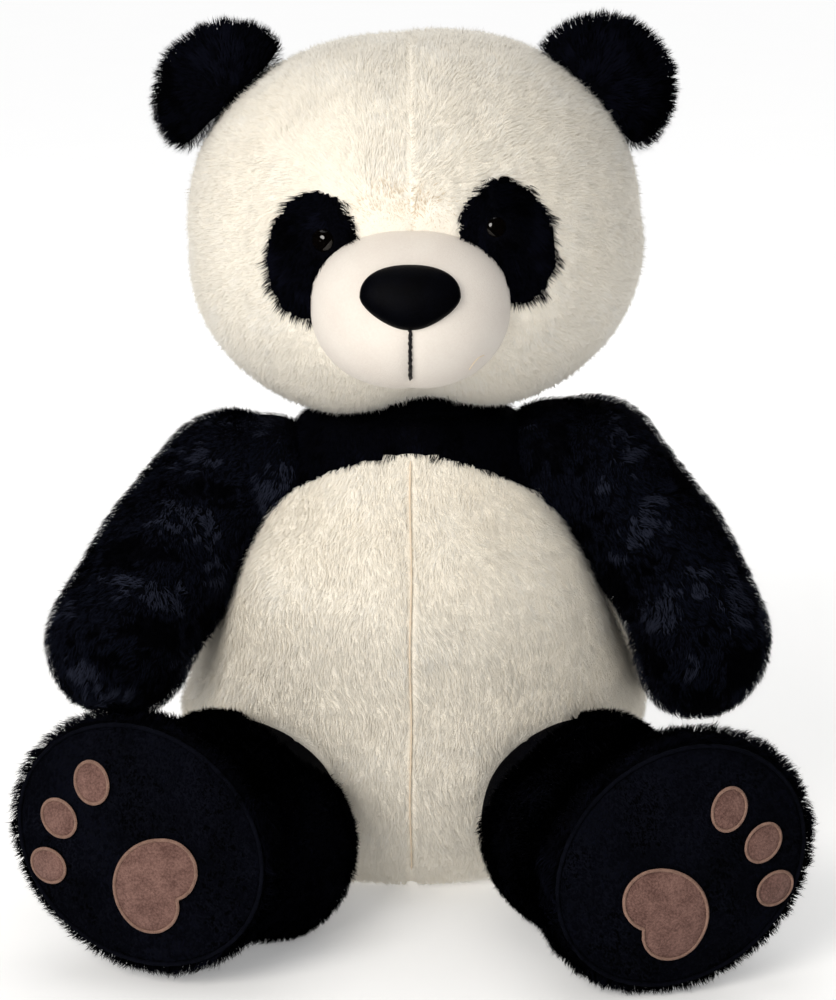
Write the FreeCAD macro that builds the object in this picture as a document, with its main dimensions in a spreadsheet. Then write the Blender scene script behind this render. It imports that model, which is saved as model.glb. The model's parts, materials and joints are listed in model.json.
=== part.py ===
import FreeCAD, Part
import math
import os

import Sketcher

# A seated plush panda, in millimetres. It faces -Y, its own left side is +X, and it sits on Z = 0.
# Every cover is a sewn skin of plush fabric around a closed filling. The covers' outer faces are where
# the pile begins to carry, so the loose pile stands a few millimetres proud of them.

DIMENSIONS = {
    # the sewn skins
    "skin": 3.0,
    "seam_gap": 0.15,
    # place of the body's own axis, behind the middle of the whole toy
    "body_setback": 62.0,
    # body, as levels from the seat up: height, half width, half depth
    "seat_height": 0.0,
    "seat_half_width": 78.0,
    "seat_half_depth": 56.0,
    "rump_height": 12.0,
    "rump_half_width": 96.0,
    "rump_half_depth": 75.0,
    "hip_height": 40.0,
    "hip_half_width": 114.0,
    "hip_half_depth": 94.0,
    "belly_height": 90.0,
    "belly_half_width": 127.0,
    "belly_half_depth": 101.0,
    "waist_height": 130.0,
    "waist_half_width": 119.0,
    "waist_half_depth": 97.0,
    "chest_height": 176.0,
    "chest_half_width": 107.0,
    "chest_half_depth": 88.0,
    "shoulder_height": 212.0,
    "shoulder_half_width": 88.0,
    "shoulder_half_depth": 68.0,
    "collar_height": 238.0,
    "collar_half_width": 70.0,
    "collar_half_depth": 58.0,
    "neck_height": 254.0,
    "neck_half_width": 58.0,
    "neck_half_depth": 52.0,
    # the arched seam between the dark chest and the pale belly, and the level seam across the back
    "arch_radius": 131.0,
    "arch_centre_height": 114.0,
    "back_seam_height": 168.0,
    # neck ball, which the head nods on and turns with
    "nod_height": 228.0,
    "neck_ball_radius": 48.0,
    "neck_gap": 0.8,
    # head
    "head_height": 366.0,
    "head_forward": 10.0,
    "head_half_width": 124.0,
    "head_half_depth": 105.0,
    "head_half_height": 102.0,
    "face_roll": 4.5,
    # muzzle, nose and mouth
    "muzzle_height": 335.0,
    "muzzle_forward": 95.0,
    "muzzle_half_width": 53.0,
    "muzzle_half_depth": 59.0,
    "muzzle_half_height": 45.0,
    "nose_height": 345.5,
    "nose_forward": 149.0,
    "nose_half_width": 26.0,
    "nose_half_depth": 10.0,
    "nose_half_height": 17.0,
    "nose_tilt": 20.0,
    "thread": 1.6,
    "mouth_top": 330.0,
    "mouth_bottom": 299.0,
    # eyes and their patches
    "eye_spread": 45.0,
    "eye_rise": 7.5,
    "eye_radius": 6.5,
    "eye_dome": 4.5,
    "shank_radius": 2.4,
    "shank_length": 15.0,
    "washer_radius": 9.0,
    "washer_thickness": 1.6,
    "washer_depth": 4.0,
    "pocket_clearance": 1.0,
    "patch_spread": 51.5,
    "patch_rise": -1.5,
    "patch_half_width": 26.0,
    "patch_half_height": 36.0,
    "patch_lean": 14.0,
    # ears
    "ear_radius": 38.0,
    "ear_half_depth": 13.0,
    "ear_angle": 40.0,
    "ear_lift": 14.0,
    "ear_gap": 5.0,
    # arms
    "shoulder_spread": 107.0,
    "shoulder_forward": 6.0,
    "shoulder_joint_height": 228.0,
    "arm_root_radius": 41.5,
    "paw_radius": 36.5,
    "arm_length": 112.0,
    # legs, along their own axis from the hip joint to the sole
    "hip_spread": 92.0,
    "hip_forward": 107.0,
    "hip_joint_height": 54.0,
    "leg_root_radius": 52.0,
    "hip_gap": 1.2,
    "shin_distance": 52.0,
    "shin_radius": 53.0,
    "ankle_distance": 88.0,
    "ankle_half_length": 58.0,
    "ankle_half_width": 52.0,
    "ankle_offset": 5.0,
    "instep_distance": 116.0,
    "foot_half_length": 71.0,
    "foot_half_width": 60.0,
    "foot_offset": 13.0,
    "rim_distance": 132.0,
    "rim_half_length": 68.0,
    "rim_half_width": 57.0,
    "sole_bulge": 14.0,
    # embroidered pads on the soles
    "pad_thickness": 1.4,
    "pad_border": 1.8,
    "heel_pad_place": -17.0,
    "heel_pad_half_width": 24.0,
    "heel_pad_crown": 16.0,
    "heel_pad_back": 21.0,
    "heel_pad_notch": 17.5,
    "heel_pad_lobe_share": 0.5,
    "toe_pad_reach": 57.0,
    "toe_pad_fan": 27.0,
    "toe_pad_half_length": 10.5,
    "toe_pad_half_width": 8.5,
    # tail and the blank sewn-in label
    "tail_height": 70.0,
    "tail_half_width": 24.0,
    "tail_half_depth": 22.0,
    "tail_half_height": 20.0,
    "label_width": 16.0,
    "label_length": 24.0,
    "label_thickness": 0.8,
    "label_height": 24.0,
}

BODY_LEVELS = ("seat", "rump", "hip", "belly", "waist", "chest", "shoulder", "collar", "neck")
SIDES = {"left": 1, "right": -1}

# how far each arm stands out from the body, how far forward it leans, and how each leg lies
ARM_OUTWARD = {"left": 27.0, "right": 27.5}
ARM_FORWARD = {"left": 24.0, "right": 41.0}
SHOULDER_DROP = {"left": 0.0, "right": 9.0}
LEG_YAW = {"left": 15.0, "right": 17.0}
LEG_RISE = {"left": 3.5, "right": 7.0}
LEG_SETTLE = {"left": 1.0, "right": 0.9}
FOOT_ROLL = {"left": 59.0, "right": 62.0}
# how far the paw pads sit from the middle of the sole, towards its outer side and towards its toes
PAD_SHIFT = {"left": 11.0, "right": 8.5}
PAD_RAISE = {"left": 0.0, "right": 1.5}

# reach of the blocks and prisms that cut other shapes: past everything, past a face, past a sole
FAR = 600.0
PATCH_REACH = 45.0
SOLE_REACH = 60.0
# share of the label's length by which it starts behind the rump
LABEL_TUCK = 0.3
# how far outward the room for a swinging arm opens
SWING_REACH = 90.0
# places of the rounded sections of a leg's root, as shares of its radius behind the hip joint
ROOT_SHARES = (-0.95, -0.75, -0.4, 0.0)
X_AXIS = FreeCAD.Vector(1, 0, 0)
Y_AXIS = FreeCAD.Vector(0, 1, 0)
Z_AXIS = FreeCAD.Vector(0, 0, 1)

doc = FreeCAD.newDocument("plush_panda")
sheet = doc.addObject("Spreadsheet::Sheet", "Dims")
for row, (alias, number) in enumerate(DIMENSIONS.items(), start=1):
    sheet.set(f"A{row}", alias)
    sheet.set(f"B{row}", str(number))
    sheet.setAlias(f"B{row}", alias)
doc.recompute()

parts = []


def size(alias):
    return float(sheet.get(alias))


def add(kind, name, **formulas):
    """Adds an object whose properties follow formulas on the sheet."""
    item = doc.addObject(kind, name)
    for prop, formula in formulas.items():
        item.setExpression(prop, str(formula))
    return item


def keep(item, node):
    """Makes an object one of the toy's own pieces."""
    item.Label = node
    parts.append(item)
    return item


def cut(name, base, *tools):
    """Takes the tools away from the base, one after another."""
    result = base
    for step, tool in enumerate(tools, start=1):
        item = doc.addObject("Part::Cut", f"{name}_{step}")
        item.Base = result
        item.Tool = tool
        result = item
    return result


def common(name, *shapes):
    result = shapes[0]
    for step, other in enumerate(shapes[1:], start=1):
        item = doc.addObject("Part::Common", f"{name}_{step}")
        item.Base = result
        item.Tool = other
        result = item
    return result


def half_space(name, direction, start):
    """A large block that begins at the plane start along one world axis, such as "+x"."""
    block = doc.addObject("Part::Box", name)
    block.Length = block.Width = block.Height = 2 * FAR
    corner = FreeCAD.Vector(-FAR, -FAR, -FAR)
    axis = "xyz".index(direction[1])
    corner[axis] = start if direction[0] == "+" else start - 2 * FAR
    block.Placement.Base = corner
    return block


def ellipsoid(name, centre, half_x, half_y, half_z, grow=0.0):
    """An ellipsoid with its half axes along X, Y and Z read from the sheet, each grown by the same amount."""
    item = add(
        "Part::Ellipsoid",
        name,
        Radius2=f"Dims.{half_x} + {grow}",
        Radius3=f"Dims.{half_y} + {grow}",
        Radius1=f"Dims.{half_z} + {grow}",
    )
    item.Placement.Base = centre
    return item


def ball(name, centre, formula):
    item = add("Part::Sphere", name, Radius=formula)
    item.Placement.Base = centre
    return item


def oval(name, half_long, half_wide, placement, grow=0.0):
    """An ellipse, long axis along its own X, for a loft or a prism."""
    item = add(
        "Part::Ellipse",
        name,
        MajorRadius=f"{half_long} + {grow}",
        MinorRadius=f"{half_wide} + {grow}",
    )
    item.Placement = placement
    return item


def loft(name, sections):
    item = doc.addObject("Part::Loft", name)
    item.Sections = sections
    item.Solid = True
    item.Ruled = False
    return item


def prism(name, outline, direction, length, back=0.0):
    item = doc.addObject("Part::Extrusion", name)
    item.Base = outline
    item.DirMode = "Custom"
    item.Dir = direction
    item.LengthFwd = length
    item.LengthRev = back
    item.Solid = True
    return item


def tilted(origin, along_x, along_z):
    """A placement whose own X and Z axes point the given ways."""
    z = FreeCAD.Vector(along_z).normalize()
    x = (along_x - z * along_x.dot(z)).normalize()
    y = z.cross(x)
    turn = FreeCAD.Matrix(x.x, y.x, z.x, 0, x.y, y.y, z.y, 0, x.z, y.z, z.z, 0, 0, 0, 0, 1)
    return FreeCAD.Placement(origin, FreeCAD.Rotation(turn))


SKIN = size("skin")
GAP = size("seam_gap")
SETBACK = size("body_setback")


def at_body(x, forward, height):
    """A point from its distance left of, in front of and above the foot of the body's axis."""
    return FreeCAD.Vector(x, SETBACK - forward, height)


# ---------------------------------------------------------------- the shared cutting planes

front_half = half_space("front_half", "-y", SETBACK - GAP)
back_half = half_space("back_half", "+y", SETBACK + GAP)
side_half = {
    "left": half_space("left_half", "+x", GAP),
    "right": half_space("right_half", "-x", -GAP),
}

# ---------------------------------------------------------------- body


def body_form(name, inset):
    """The pear of the body, or the filling inside its skin."""
    sections = []
    for level in BODY_LEVELS:
        height = size(f"{level}_height")
        if level == "seat":
            height += inset
        place = FreeCAD.Placement(at_body(0, 0, height), FreeCAD.Rotation())
        half_width = f"Dims.{level}_half_width"
        half_depth = f"Dims.{level}_half_depth"
        sections.append(oval(f"{name}_{level}", half_width, half_depth, place, -inset))
    return loft(name, sections)


def hip_point(side):
    return at_body(SIDES[side] * size("hip_spread"), size("hip_forward"), size("hip_joint_height"))


def shoulder_point(side):
    height = size("shoulder_joint_height") - SHOULDER_DROP[side]
    return at_body(SIDES[side] * size("shoulder_spread"), size("shoulder_forward"), height)


def swing_room(side):
    """The room an arm needs as it swings: a ball at its root, and a cone that opens along its inner side."""
    outward = math.radians(ARM_OUTWARD[side])
    reach = size("arm_root_radius") + size("hip_gap")
    point, way = shoulder_point(side), X_AXIS * SIDES[side]
    socket = ball(f"shoulder_socket_{side}", point, "Dims.arm_root_radius + Dims.hip_gap")
    cone = doc.addObject("Part::Cone", f"swing_cone_{side}")
    cone.Radius1 = reach * math.sin(outward)
    cone.Radius2 = cone.Radius1.Value + SWING_REACH / math.tan(outward)
    cone.Height = SWING_REACH
    cone.Placement = tilted(point - way * reach * math.cos(outward), Y_AXIS, way)
    return [socket, cone]


body_outer = body_form("body_outer", 0.0)
body_inner = body_form("body_inner", SKIN)
hip_pockets = [
    ball(f"hip_pocket_{side}", hip_point(side), "Dims.leg_root_radius + Dims.hip_gap") for side in SIDES
]
limb_rooms = [*hip_pockets, *swing_room("left"), *swing_room("right")]
body_skin = cut("body_skin", body_outer, body_inner, *limb_rooms)

arch = add("Part::Cylinder", "belly_arch", Radius="Dims.arch_radius", Height=2 * FAR)
arch.Placement = tilted(at_body(0, FAR, size("arch_centre_height")), X_AXIS, Y_AXIS)
below_arch = half_space("below_arch", "-z", size("arch_centre_height"))
belly_region = doc.addObject("Part::Fuse", "belly_region")
belly_region.Base = arch
belly_region.Tool = below_arch

front_skin = common("front_skin", body_skin, front_half)
back_skin = common("back_skin", body_skin, back_half)
keep(cut("chest_yoke", front_skin, belly_region), "chest_yoke")
belly = common("belly", front_skin, belly_region)
above_back_seam = half_space("above_back_seam", "+z", size("back_seam_height"))
keep(common("back_yoke", back_skin, above_back_seam), "back_yoke")
lower_back = cut("lower_back", back_skin, above_back_seam)

tail_centre = at_body(0, -size("hip_half_depth") - size("tail_half_depth") * 0.5, size("tail_height"))
tail_outer = ellipsoid("tail_outer", tail_centre, "tail_half_width", "tail_half_depth", "tail_half_height")
tail_inner = ellipsoid(
    "tail_inner", tail_centre, "tail_half_width", "tail_half_depth", "tail_half_height", -SKIN
)
for side, half in side_half.items():
    keep(common(f"belly_{side}", belly, half), f"belly_panel_{side}")
    keep(common(f"lower_back_{side}", lower_back, half), f"back_panel_{side}")
keep(cut("tail_cover", tail_outer, tail_inner, body_outer), "tail_cover")
keep(cut("tail_filling", tail_inner, body_outer), "tail_filling")

body_core = body_form("body_core", SKIN + GAP)
keep(cut("body_filling", body_core, *limb_rooms), "body_filling")

label = add(
    "Part::Box", "label_cloth", Length="Dims.label_thickness", Width="Dims.label_length", Height="Dims.label_width"
)
label_back = size("rump_half_depth") + size("label_length") * LABEL_TUCK
label.Placement.Base = at_body(-size("label_thickness") / 2, -label_back, size("label_height"))
keep(cut("label_loop", label, body_outer), "care_label")

# ---------------------------------------------------------------- neck

nod_point = at_body(0, 0, size("nod_height"))
above_neck = half_space("above_neck", "+z", size("neck_height") + size("neck_gap"))
neck_ball = ball("neck_ball", nod_point, "Dims.neck_ball_radius")
neck_socket = ball("neck_socket", nod_point, "Dims.neck_ball_radius + Dims.neck_gap")
keep(common("neck", neck_ball, above_neck), "neck_filling")

# ---------------------------------------------------------------- head

head_centre = at_body(0, size("head_forward"), size("head_height"))
HEAD = ("head_half_width", "head_half_depth", "head_half_height")


def head_form(name, grow):
    return ellipsoid(name, head_centre, *HEAD, grow)


def on_head(across, rise, grow=0.0):
    """The point of the head's surface in front of a place on the face, which leans with the face."""
    roll = math.radians(size("face_roll"))
    x = across * math.cos(roll) - rise * math.sin(roll)
    z = across * math.sin(roll) + rise * math.cos(roll)
    half_x, half_y, half_z = (size(name) + grow for name in HEAD)
    y = -half_y * math.sqrt(1 - (x / half_x) ** 2 - (z / half_z) ** 2)
    return head_centre + FreeCAD.Vector(x, y, z)


def head_normal(point):
    offset = point - head_centre
    half_x, half_y, half_z = (size(name) for name in HEAD)
    return FreeCAD.Vector(offset.x / half_x**2, offset.y / half_y**2, offset.z / half_z**2).normalize()


head_outer = head_form("head_outer", 0.0)
head_inner = head_form("head_inner", -SKIN)
head_core = head_form("head_core", -SKIN - GAP)
head_skin = cut("head_skin", head_outer, head_inner, neck_socket)

muzzle_centre = at_body(0, size("muzzle_forward"), size("muzzle_height"))
MUZZLE = ("muzzle_half_width", "muzzle_half_depth", "muzzle_half_height")
muzzle_outer = ellipsoid("muzzle_outer", muzzle_centre, *MUZZLE)
muzzle_inner = ellipsoid("muzzle_inner", muzzle_centre, *MUZZLE, -SKIN)
muzzle_core = ellipsoid("muzzle_core", muzzle_centre, *MUZZLE, -SKIN - GAP)
head_front = at_body(0, size("head_forward"), 0).y
head_front_half = half_space("head_front_half", "-y", head_front - GAP)
head_back_half = half_space("head_back_half", "+y", head_front + GAP)
face_skin = cut("face_skin", common("head_front_skin", head_skin, head_front_half), muzzle_outer)
rear_skin = common("rear_skin", head_skin, head_back_half)


def eye_place(side):
    """The eye's seat on the face: its own Z axis points out of the head."""
    spot = on_head(SIDES[side] * size("eye_spread"), size("eye_rise"))
    return tilted(spot, X_AXIS, head_normal(spot))


def half_profile(name, radius_height_pairs, placement):
    """A solid turned about its own Z axis from a closed outline of (radius, height) points and arcs.

    An entry of three pairs is an arc from the first to the last through the middle one.
    """
    body = doc.addObject("PartDesign::Body", name)
    sketch = body.newObject("Sketcher::SketchObject", f"{name}_profile")
    plane = next(f for f in body.Origin.OriginFeatures if f.Role == "XZ_Plane")
    sketch.AttachmentSupport = [(plane, "")]
    sketch.MapMode = "FlatFace"
    for entry in radius_height_pairs:
        points = [FreeCAD.Vector(radius, height, 0) for radius, height in entry]
        if len(points) == 3:
            curve = Part.Arc(*points)
        else:
            curve = Part.LineSegment(*points)
        sketch.addGeometry(curve, False)
    turn = body.newObject("PartDesign::Revolution", f"{name}_turned")
    turn.Profile = sketch
    turn.ReferenceAxis = (sketch, ["V_Axis"])
    turn.Angle = 360
    body.Placement = placement
    return body


def eye_solid(side):
    """A domed plastic eye on its shank, seated on the fabric."""
    radius, dome = size("eye_radius"), size("eye_dome")
    shank, length = size("shank_radius"), size("shank_length")
    middle = (radius * math.sin(math.pi / 4), dome * math.cos(math.pi / 4))
    outline = [
        ((0, dome), middle, (radius, 0)),
        ((radius, 0), (shank, 0)),
        ((shank, 0), (shank, -length)),
        ((shank, -length), (0, -length)),
        ((0, -length), (0, dome)),
    ]
    place = eye_place(side)
    place.Base = place.Base + head_normal(place.Base) * GAP
    return half_profile(f"eye_solid_{side}", outline, place)


def washer_solid(side):
    """The locking washer pressed on the shank behind the fabric."""
    inner, outer = size("shank_radius") + GAP / 2, size("washer_radius")
    top = -SKIN - 2 * GAP - size("washer_depth")
    bottom = top - size("washer_thickness")
    outline = [
        ((inner, top), (outer, top)),
        ((outer, top), (outer, bottom)),
        ((outer, bottom), (inner, bottom)),
        ((inner, bottom), (inner, top)),
    ]
    return half_profile(f"washer_solid_{side}", outline, eye_place(side))


def drum(name, radius, top, bottom, placement):
    """A plain cylinder between two heights of a placement's own Z axis."""
    item = doc.addObject("Part::Cylinder", name)
    item.Radius = radius
    item.Height = top - bottom
    item.Placement = placement.multiply(FreeCAD.Placement(FreeCAD.Vector(0, 0, bottom), FreeCAD.Rotation()))
    return item


pockets = []
for side, sign in SIDES.items():
    spot = on_head(sign * size("patch_spread"), size("patch_rise"))
    lean = math.radians(size("face_roll") + sign * size("patch_lean"))
    upright = FreeCAD.Vector(-math.sin(lean), 0, math.cos(lean))
    place = tilted(spot + Y_AXIS * PATCH_REACH, upright, -Y_AXIS)
    rim = oval(f"patch_rim_{side}", "Dims.patch_half_height", "Dims.patch_half_width", place)
    hole = oval(f"patch_hole_{side}", "Dims.patch_half_height", "Dims.patch_half_width", place, GAP)
    rim_prism = prism(f"patch_prism_{side}", rim, -Y_AXIS, 2 * PATCH_REACH)
    hole_prism = prism(f"patch_opening_{side}", hole, -Y_AXIS, 2 * PATCH_REACH)
    clearance = size("pocket_clearance")
    depth = size("shank_length") + clearance
    top = size("eye_dome")
    shank_hole = drum(f"shank_hole_{side}", size("shank_radius") + GAP, top, -depth, eye_place(side))
    shelf = -SKIN - size("washer_depth") + 2 * clearance
    pocket = drum(f"eye_pocket_{side}", size("washer_radius") + clearance, shelf, -depth, eye_place(side))
    pockets += [shank_hole, pocket]
    panel = common(f"face_{side}", face_skin, side_half[side])
    keep(cut(f"face_panel_{side}", panel, hole_prism), f"face_panel_{side}")
    patch = common(f"patch_{side}", face_skin, rim_prism)
    keep(cut(f"eye_patch_{side}", patch, shank_hole), f"eye_patch_{side}")
    keep(eye_solid(side), f"eye_{side}")
    keep(washer_solid(side), f"eye_washer_{side}")
    keep(common(f"rear_{side}", rear_skin, side_half[side]), f"head_back_panel_{side}")

keep(cut("head_filling", head_core, neck_socket, *pockets), "head_filling")
keep(cut("muzzle_cover", muzzle_outer, muzzle_inner, head_inner), "muzzle_cover")
keep(cut("muzzle_filling", muzzle_core, head_inner), "muzzle_filling")

nose_centre = at_body(0, size("nose_forward"), size("nose_height"))
nose_form = ellipsoid("nose_form", nose_centre, "nose_half_width", "nose_half_depth", "nose_half_height")
nose_form.Placement.Rotation = FreeCAD.Rotation(X_AXIS, -size("nose_tilt"))
muzzle_clear = ellipsoid("muzzle_clear", muzzle_centre, *MUZZLE, GAP)
keep(cut("nose", nose_form, muzzle_clear), "nose")

thread_layer = cut(
    "thread_layer", ellipsoid("thread_outer", muzzle_centre, *MUZZLE, size("thread")), muzzle_clear
)
mouth_box = add(
    "Part::Box",
    "mouth_line",
    Length="Dims.thread",
    Width="Dims.muzzle_half_depth * 2",
    Height="Dims.mouth_top - Dims.mouth_bottom",
)
mouth_front = size("muzzle_forward") + 2 * size("muzzle_half_depth")
mouth_box.Placement.Base = at_body(-size("thread") / 2, mouth_front, size("mouth_bottom"))
nose_clear = ellipsoid(
    "nose_clear", nose_centre, "nose_half_width", "nose_half_depth", "nose_half_height", GAP
)
nose_clear.Placement.Rotation = nose_form.Placement.Rotation
keep(cut("mouth", common("mouth_strip", thread_layer, mouth_box), nose_clear), "mouth_stitching")

# ---------------------------------------------------------------- ears

for side, sign in SIDES.items():
    angle = math.radians(size("ear_angle"))
    root = FreeCAD.Vector(
        sign * size("head_half_width") * math.cos(angle), 0, size("head_half_height") * math.sin(angle)
    )
    outward = head_normal(head_centre + root)
    centre = head_centre + root + outward * size("ear_lift")
    chord = outward.cross(Y_AXIS)
    shapes = {}
    for layer, grow in (("outer", 0.0), ("inner", -SKIN), ("core", -SKIN - GAP)):
        shapes[layer] = ellipsoid(
            f"ear_{layer}_{side}", centre, "ear_radius", "ear_half_depth", "ear_radius", grow
        )
    base_block = doc.addObject("Part::Box", f"ear_base_{side}")
    base_block.Length = base_block.Width = base_block.Height = FAR
    base_plane = tilted(head_centre + root + outward * size("ear_gap"), chord, -outward)
    base_block.Placement = base_plane.multiply(
        FreeCAD.Placement(FreeCAD.Vector(-FAR / 2, -FAR / 2, 0), FreeCAD.Rotation())
    )
    ear_skin = cut(f"ear_skin_{side}", shapes["outer"], shapes["inner"], base_block)
    keep(common(f"ear_front_{side}", ear_skin, head_front_half), f"ear_front_panel_{side}")
    keep(common(f"ear_back_{side}", ear_skin, head_back_half), f"ear_back_panel_{side}")
    keep(cut(f"ear_filling_{side}", shapes["core"], base_block), f"ear_filling_{side}")

# ---------------------------------------------------------------- arms


def arm_axis(side):
    """The way an arm points, from its shoulder to its paw."""
    outward, forward = math.radians(ARM_OUTWARD[side]), math.radians(ARM_FORWARD[side])
    down = FreeCAD.Vector(0, -math.sin(forward), -math.cos(forward))
    return X_AXIS * (SIDES[side] * math.sin(outward)) + down * math.cos(outward)


def capsule_outline(root, tip, length):
    """Half the outline of two balls joined by their common tangent, from one pole to the other."""
    slope = math.asin((tip - root) / length)
    wide, rise = math.cos(slope), math.sin(slope)
    root_middle, tip_middle = (slope - math.pi / 2) / 2, (slope + math.pi / 2) / 2
    root_arc = (
        (0, -root),
        (root * math.cos(root_middle), root * math.sin(root_middle)),
        (root * wide, -root * rise),
    )
    tip_arc = (
        (tip * wide, length - tip * rise),
        (tip * math.cos(tip_middle), length + tip * math.sin(tip_middle)),
        (0, length + tip),
    )
    return [root_arc, (root_arc[2], tip_arc[0]), tip_arc]


def arm_solid(name, inset, placement):
    outline = capsule_outline(
        size("arm_root_radius") - inset, size("paw_radius") - inset, size("arm_length")
    )
    closing = (outline[-1][-1], outline[0][0])
    return half_profile(name, [*outline, closing], placement)


for side in SIDES:
    place = tilted(shoulder_point(side), Y_AXIS, arm_axis(side))
    outer = arm_solid(f"arm_outer_{side}", 0.0, place)
    inner = arm_solid(f"arm_inner_{side}", SKIN, place)
    keep(arm_solid(f"arm_core_{side}", SKIN + GAP, place), f"arm_filling_{side}")
    arm_skin = cut(f"arm_skin_{side}", outer, inner)
    for face, start in (("back", GAP), ("front", -GAP)):
        block = doc.addObject("Part::Box", f"arm_{face}_{side}_block")
        block.Length = block.Width = block.Height = 2 * FAR
        shift = start if face == "back" else start - 2 * FAR
        block.Placement = place.multiply(
            FreeCAD.Placement(FreeCAD.Vector(shift, -FAR, -FAR), FreeCAD.Rotation())
        )
        keep(common(f"arm_{face}_{side}", arm_skin, block), f"arm_{face}_panel_{side}")

# ---------------------------------------------------------------- legs


def leg_place(side):
    """The leg's own frame at the hip: Z along the leg, X the way its toes point."""
    sign = SIDES[side]
    yaw, rise, roll = (math.radians(angle[side]) for angle in (LEG_YAW, LEG_RISE, FOOT_ROLL))
    along = FreeCAD.Vector(
        sign * math.sin(yaw) * math.cos(rise), -math.cos(yaw) * math.cos(rise), math.sin(rise)
    )
    out = FreeCAD.Vector(sign * math.cos(yaw), math.sin(yaw), 0)
    up = (Z_AXIS - along * along.z).normalize()
    toes = up * math.cos(roll) + out * math.sin(roll)
    return tilted(hip_point(side), toes, along)


def leg_sections(side, inset):
    """The leg's outlines along its axis: distance, half length and half width, and shift to the toes."""
    settle = LEG_SETTLE[side]
    root = size("leg_root_radius")
    for share in ROOT_SHARES:
        radius = root * math.sqrt(1 - share**2)
        yield share * (root - inset), radius * (1 - inset / root), radius * (1 - inset / root), 0.0
    shin = size("shin_radius") - inset
    yield size("shin_distance") * settle, shin, shin, 1.0
    for name, level in (("ankle", "ankle"), ("foot", "instep"), ("rim", "rim")):
        offset = size("ankle_offset" if name == "ankle" else "foot_offset")
        half_length = size(f"{name}_half_length") - inset
        half_width = size(f"{name}_half_width") - inset
        yield size(f"{level}_distance") * settle, half_length, half_width, offset


def leg_form(layer, side, inset, place):
    name = f"leg_{layer}_{side}"
    sections = []
    for step, (distance, half_length, half_width, offset) in enumerate(leg_sections(side, inset)):
        local = FreeCAD.Placement(FreeCAD.Vector(offset, 0, distance), FreeCAD.Rotation())
        sections.append(oval(f"{name}_{step}", half_length, half_width, place.multiply(local)))
    return loft(name, sections)


def sole_ball(name, side, place, grow):
    """A large ball whose front is the bulge of the sole."""
    rim = size("rim_distance") * LEG_SETTLE[side]
    reach, bulge = size("rim_half_length"), size("sole_bulge")
    radius = (reach**2 + bulge**2) / (2 * bulge)
    centre = FreeCAD.Vector(size("foot_offset"), 0, rim + bulge - radius)
    return ball(name, place.multVec(centre), radius + grow)


def leg_block(name, place, corner):
    block = doc.addObject("Part::Box", name)
    block.Length = block.Width = block.Height = 2 * FAR
    block.Placement = place.multiply(FreeCAD.Placement(FreeCAD.Vector(*corner), FreeCAD.Rotation()))
    return block


def pad_outline(name, place, grow):
    """The heel pad: a broad arc towards the toes and two lobes that meet in a notch at the heel."""
    half = size("heel_pad_half_width") + grow
    crown = (size("heel_pad_crown") + grow, 0)
    notch = (-size("heel_pad_notch") - grow, 0)
    back, lobe = -size("heel_pad_back") - grow, half * size("heel_pad_lobe_share")
    arcs = (
        ((0, half), crown, (0, -half)),
        ((0, -half), (back, -lobe), notch),
        (notch, (back, lobe), (0, half)),
    )
    sketch = doc.addObject("Sketcher::SketchObject", name)
    for arc in arcs:
        sketch.addGeometry(Part.Arc(*[FreeCAD.Vector(x, y, 0) for x, y in arc]), False)
    local = FreeCAD.Placement(FreeCAD.Vector(size("heel_pad_place"), 0, 0), FreeCAD.Rotation())
    sketch.Placement = place.multiply(local)
    return sketch


def toe_outline(name, place, fan, grow):
    """One oval toe pad, pointing away from the heel pad."""
    turn = FreeCAD.Rotation(Z_AXIS, fan)
    heel = FreeCAD.Vector(size("heel_pad_place"), 0, 0)
    centre = heel + turn.multVec(X_AXIS * size("toe_pad_reach"))
    local = FreeCAD.Placement(centre, turn)
    return oval(name, "Dims.toe_pad_half_length", "Dims.toe_pad_half_width", place.multiply(local), grow)


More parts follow.
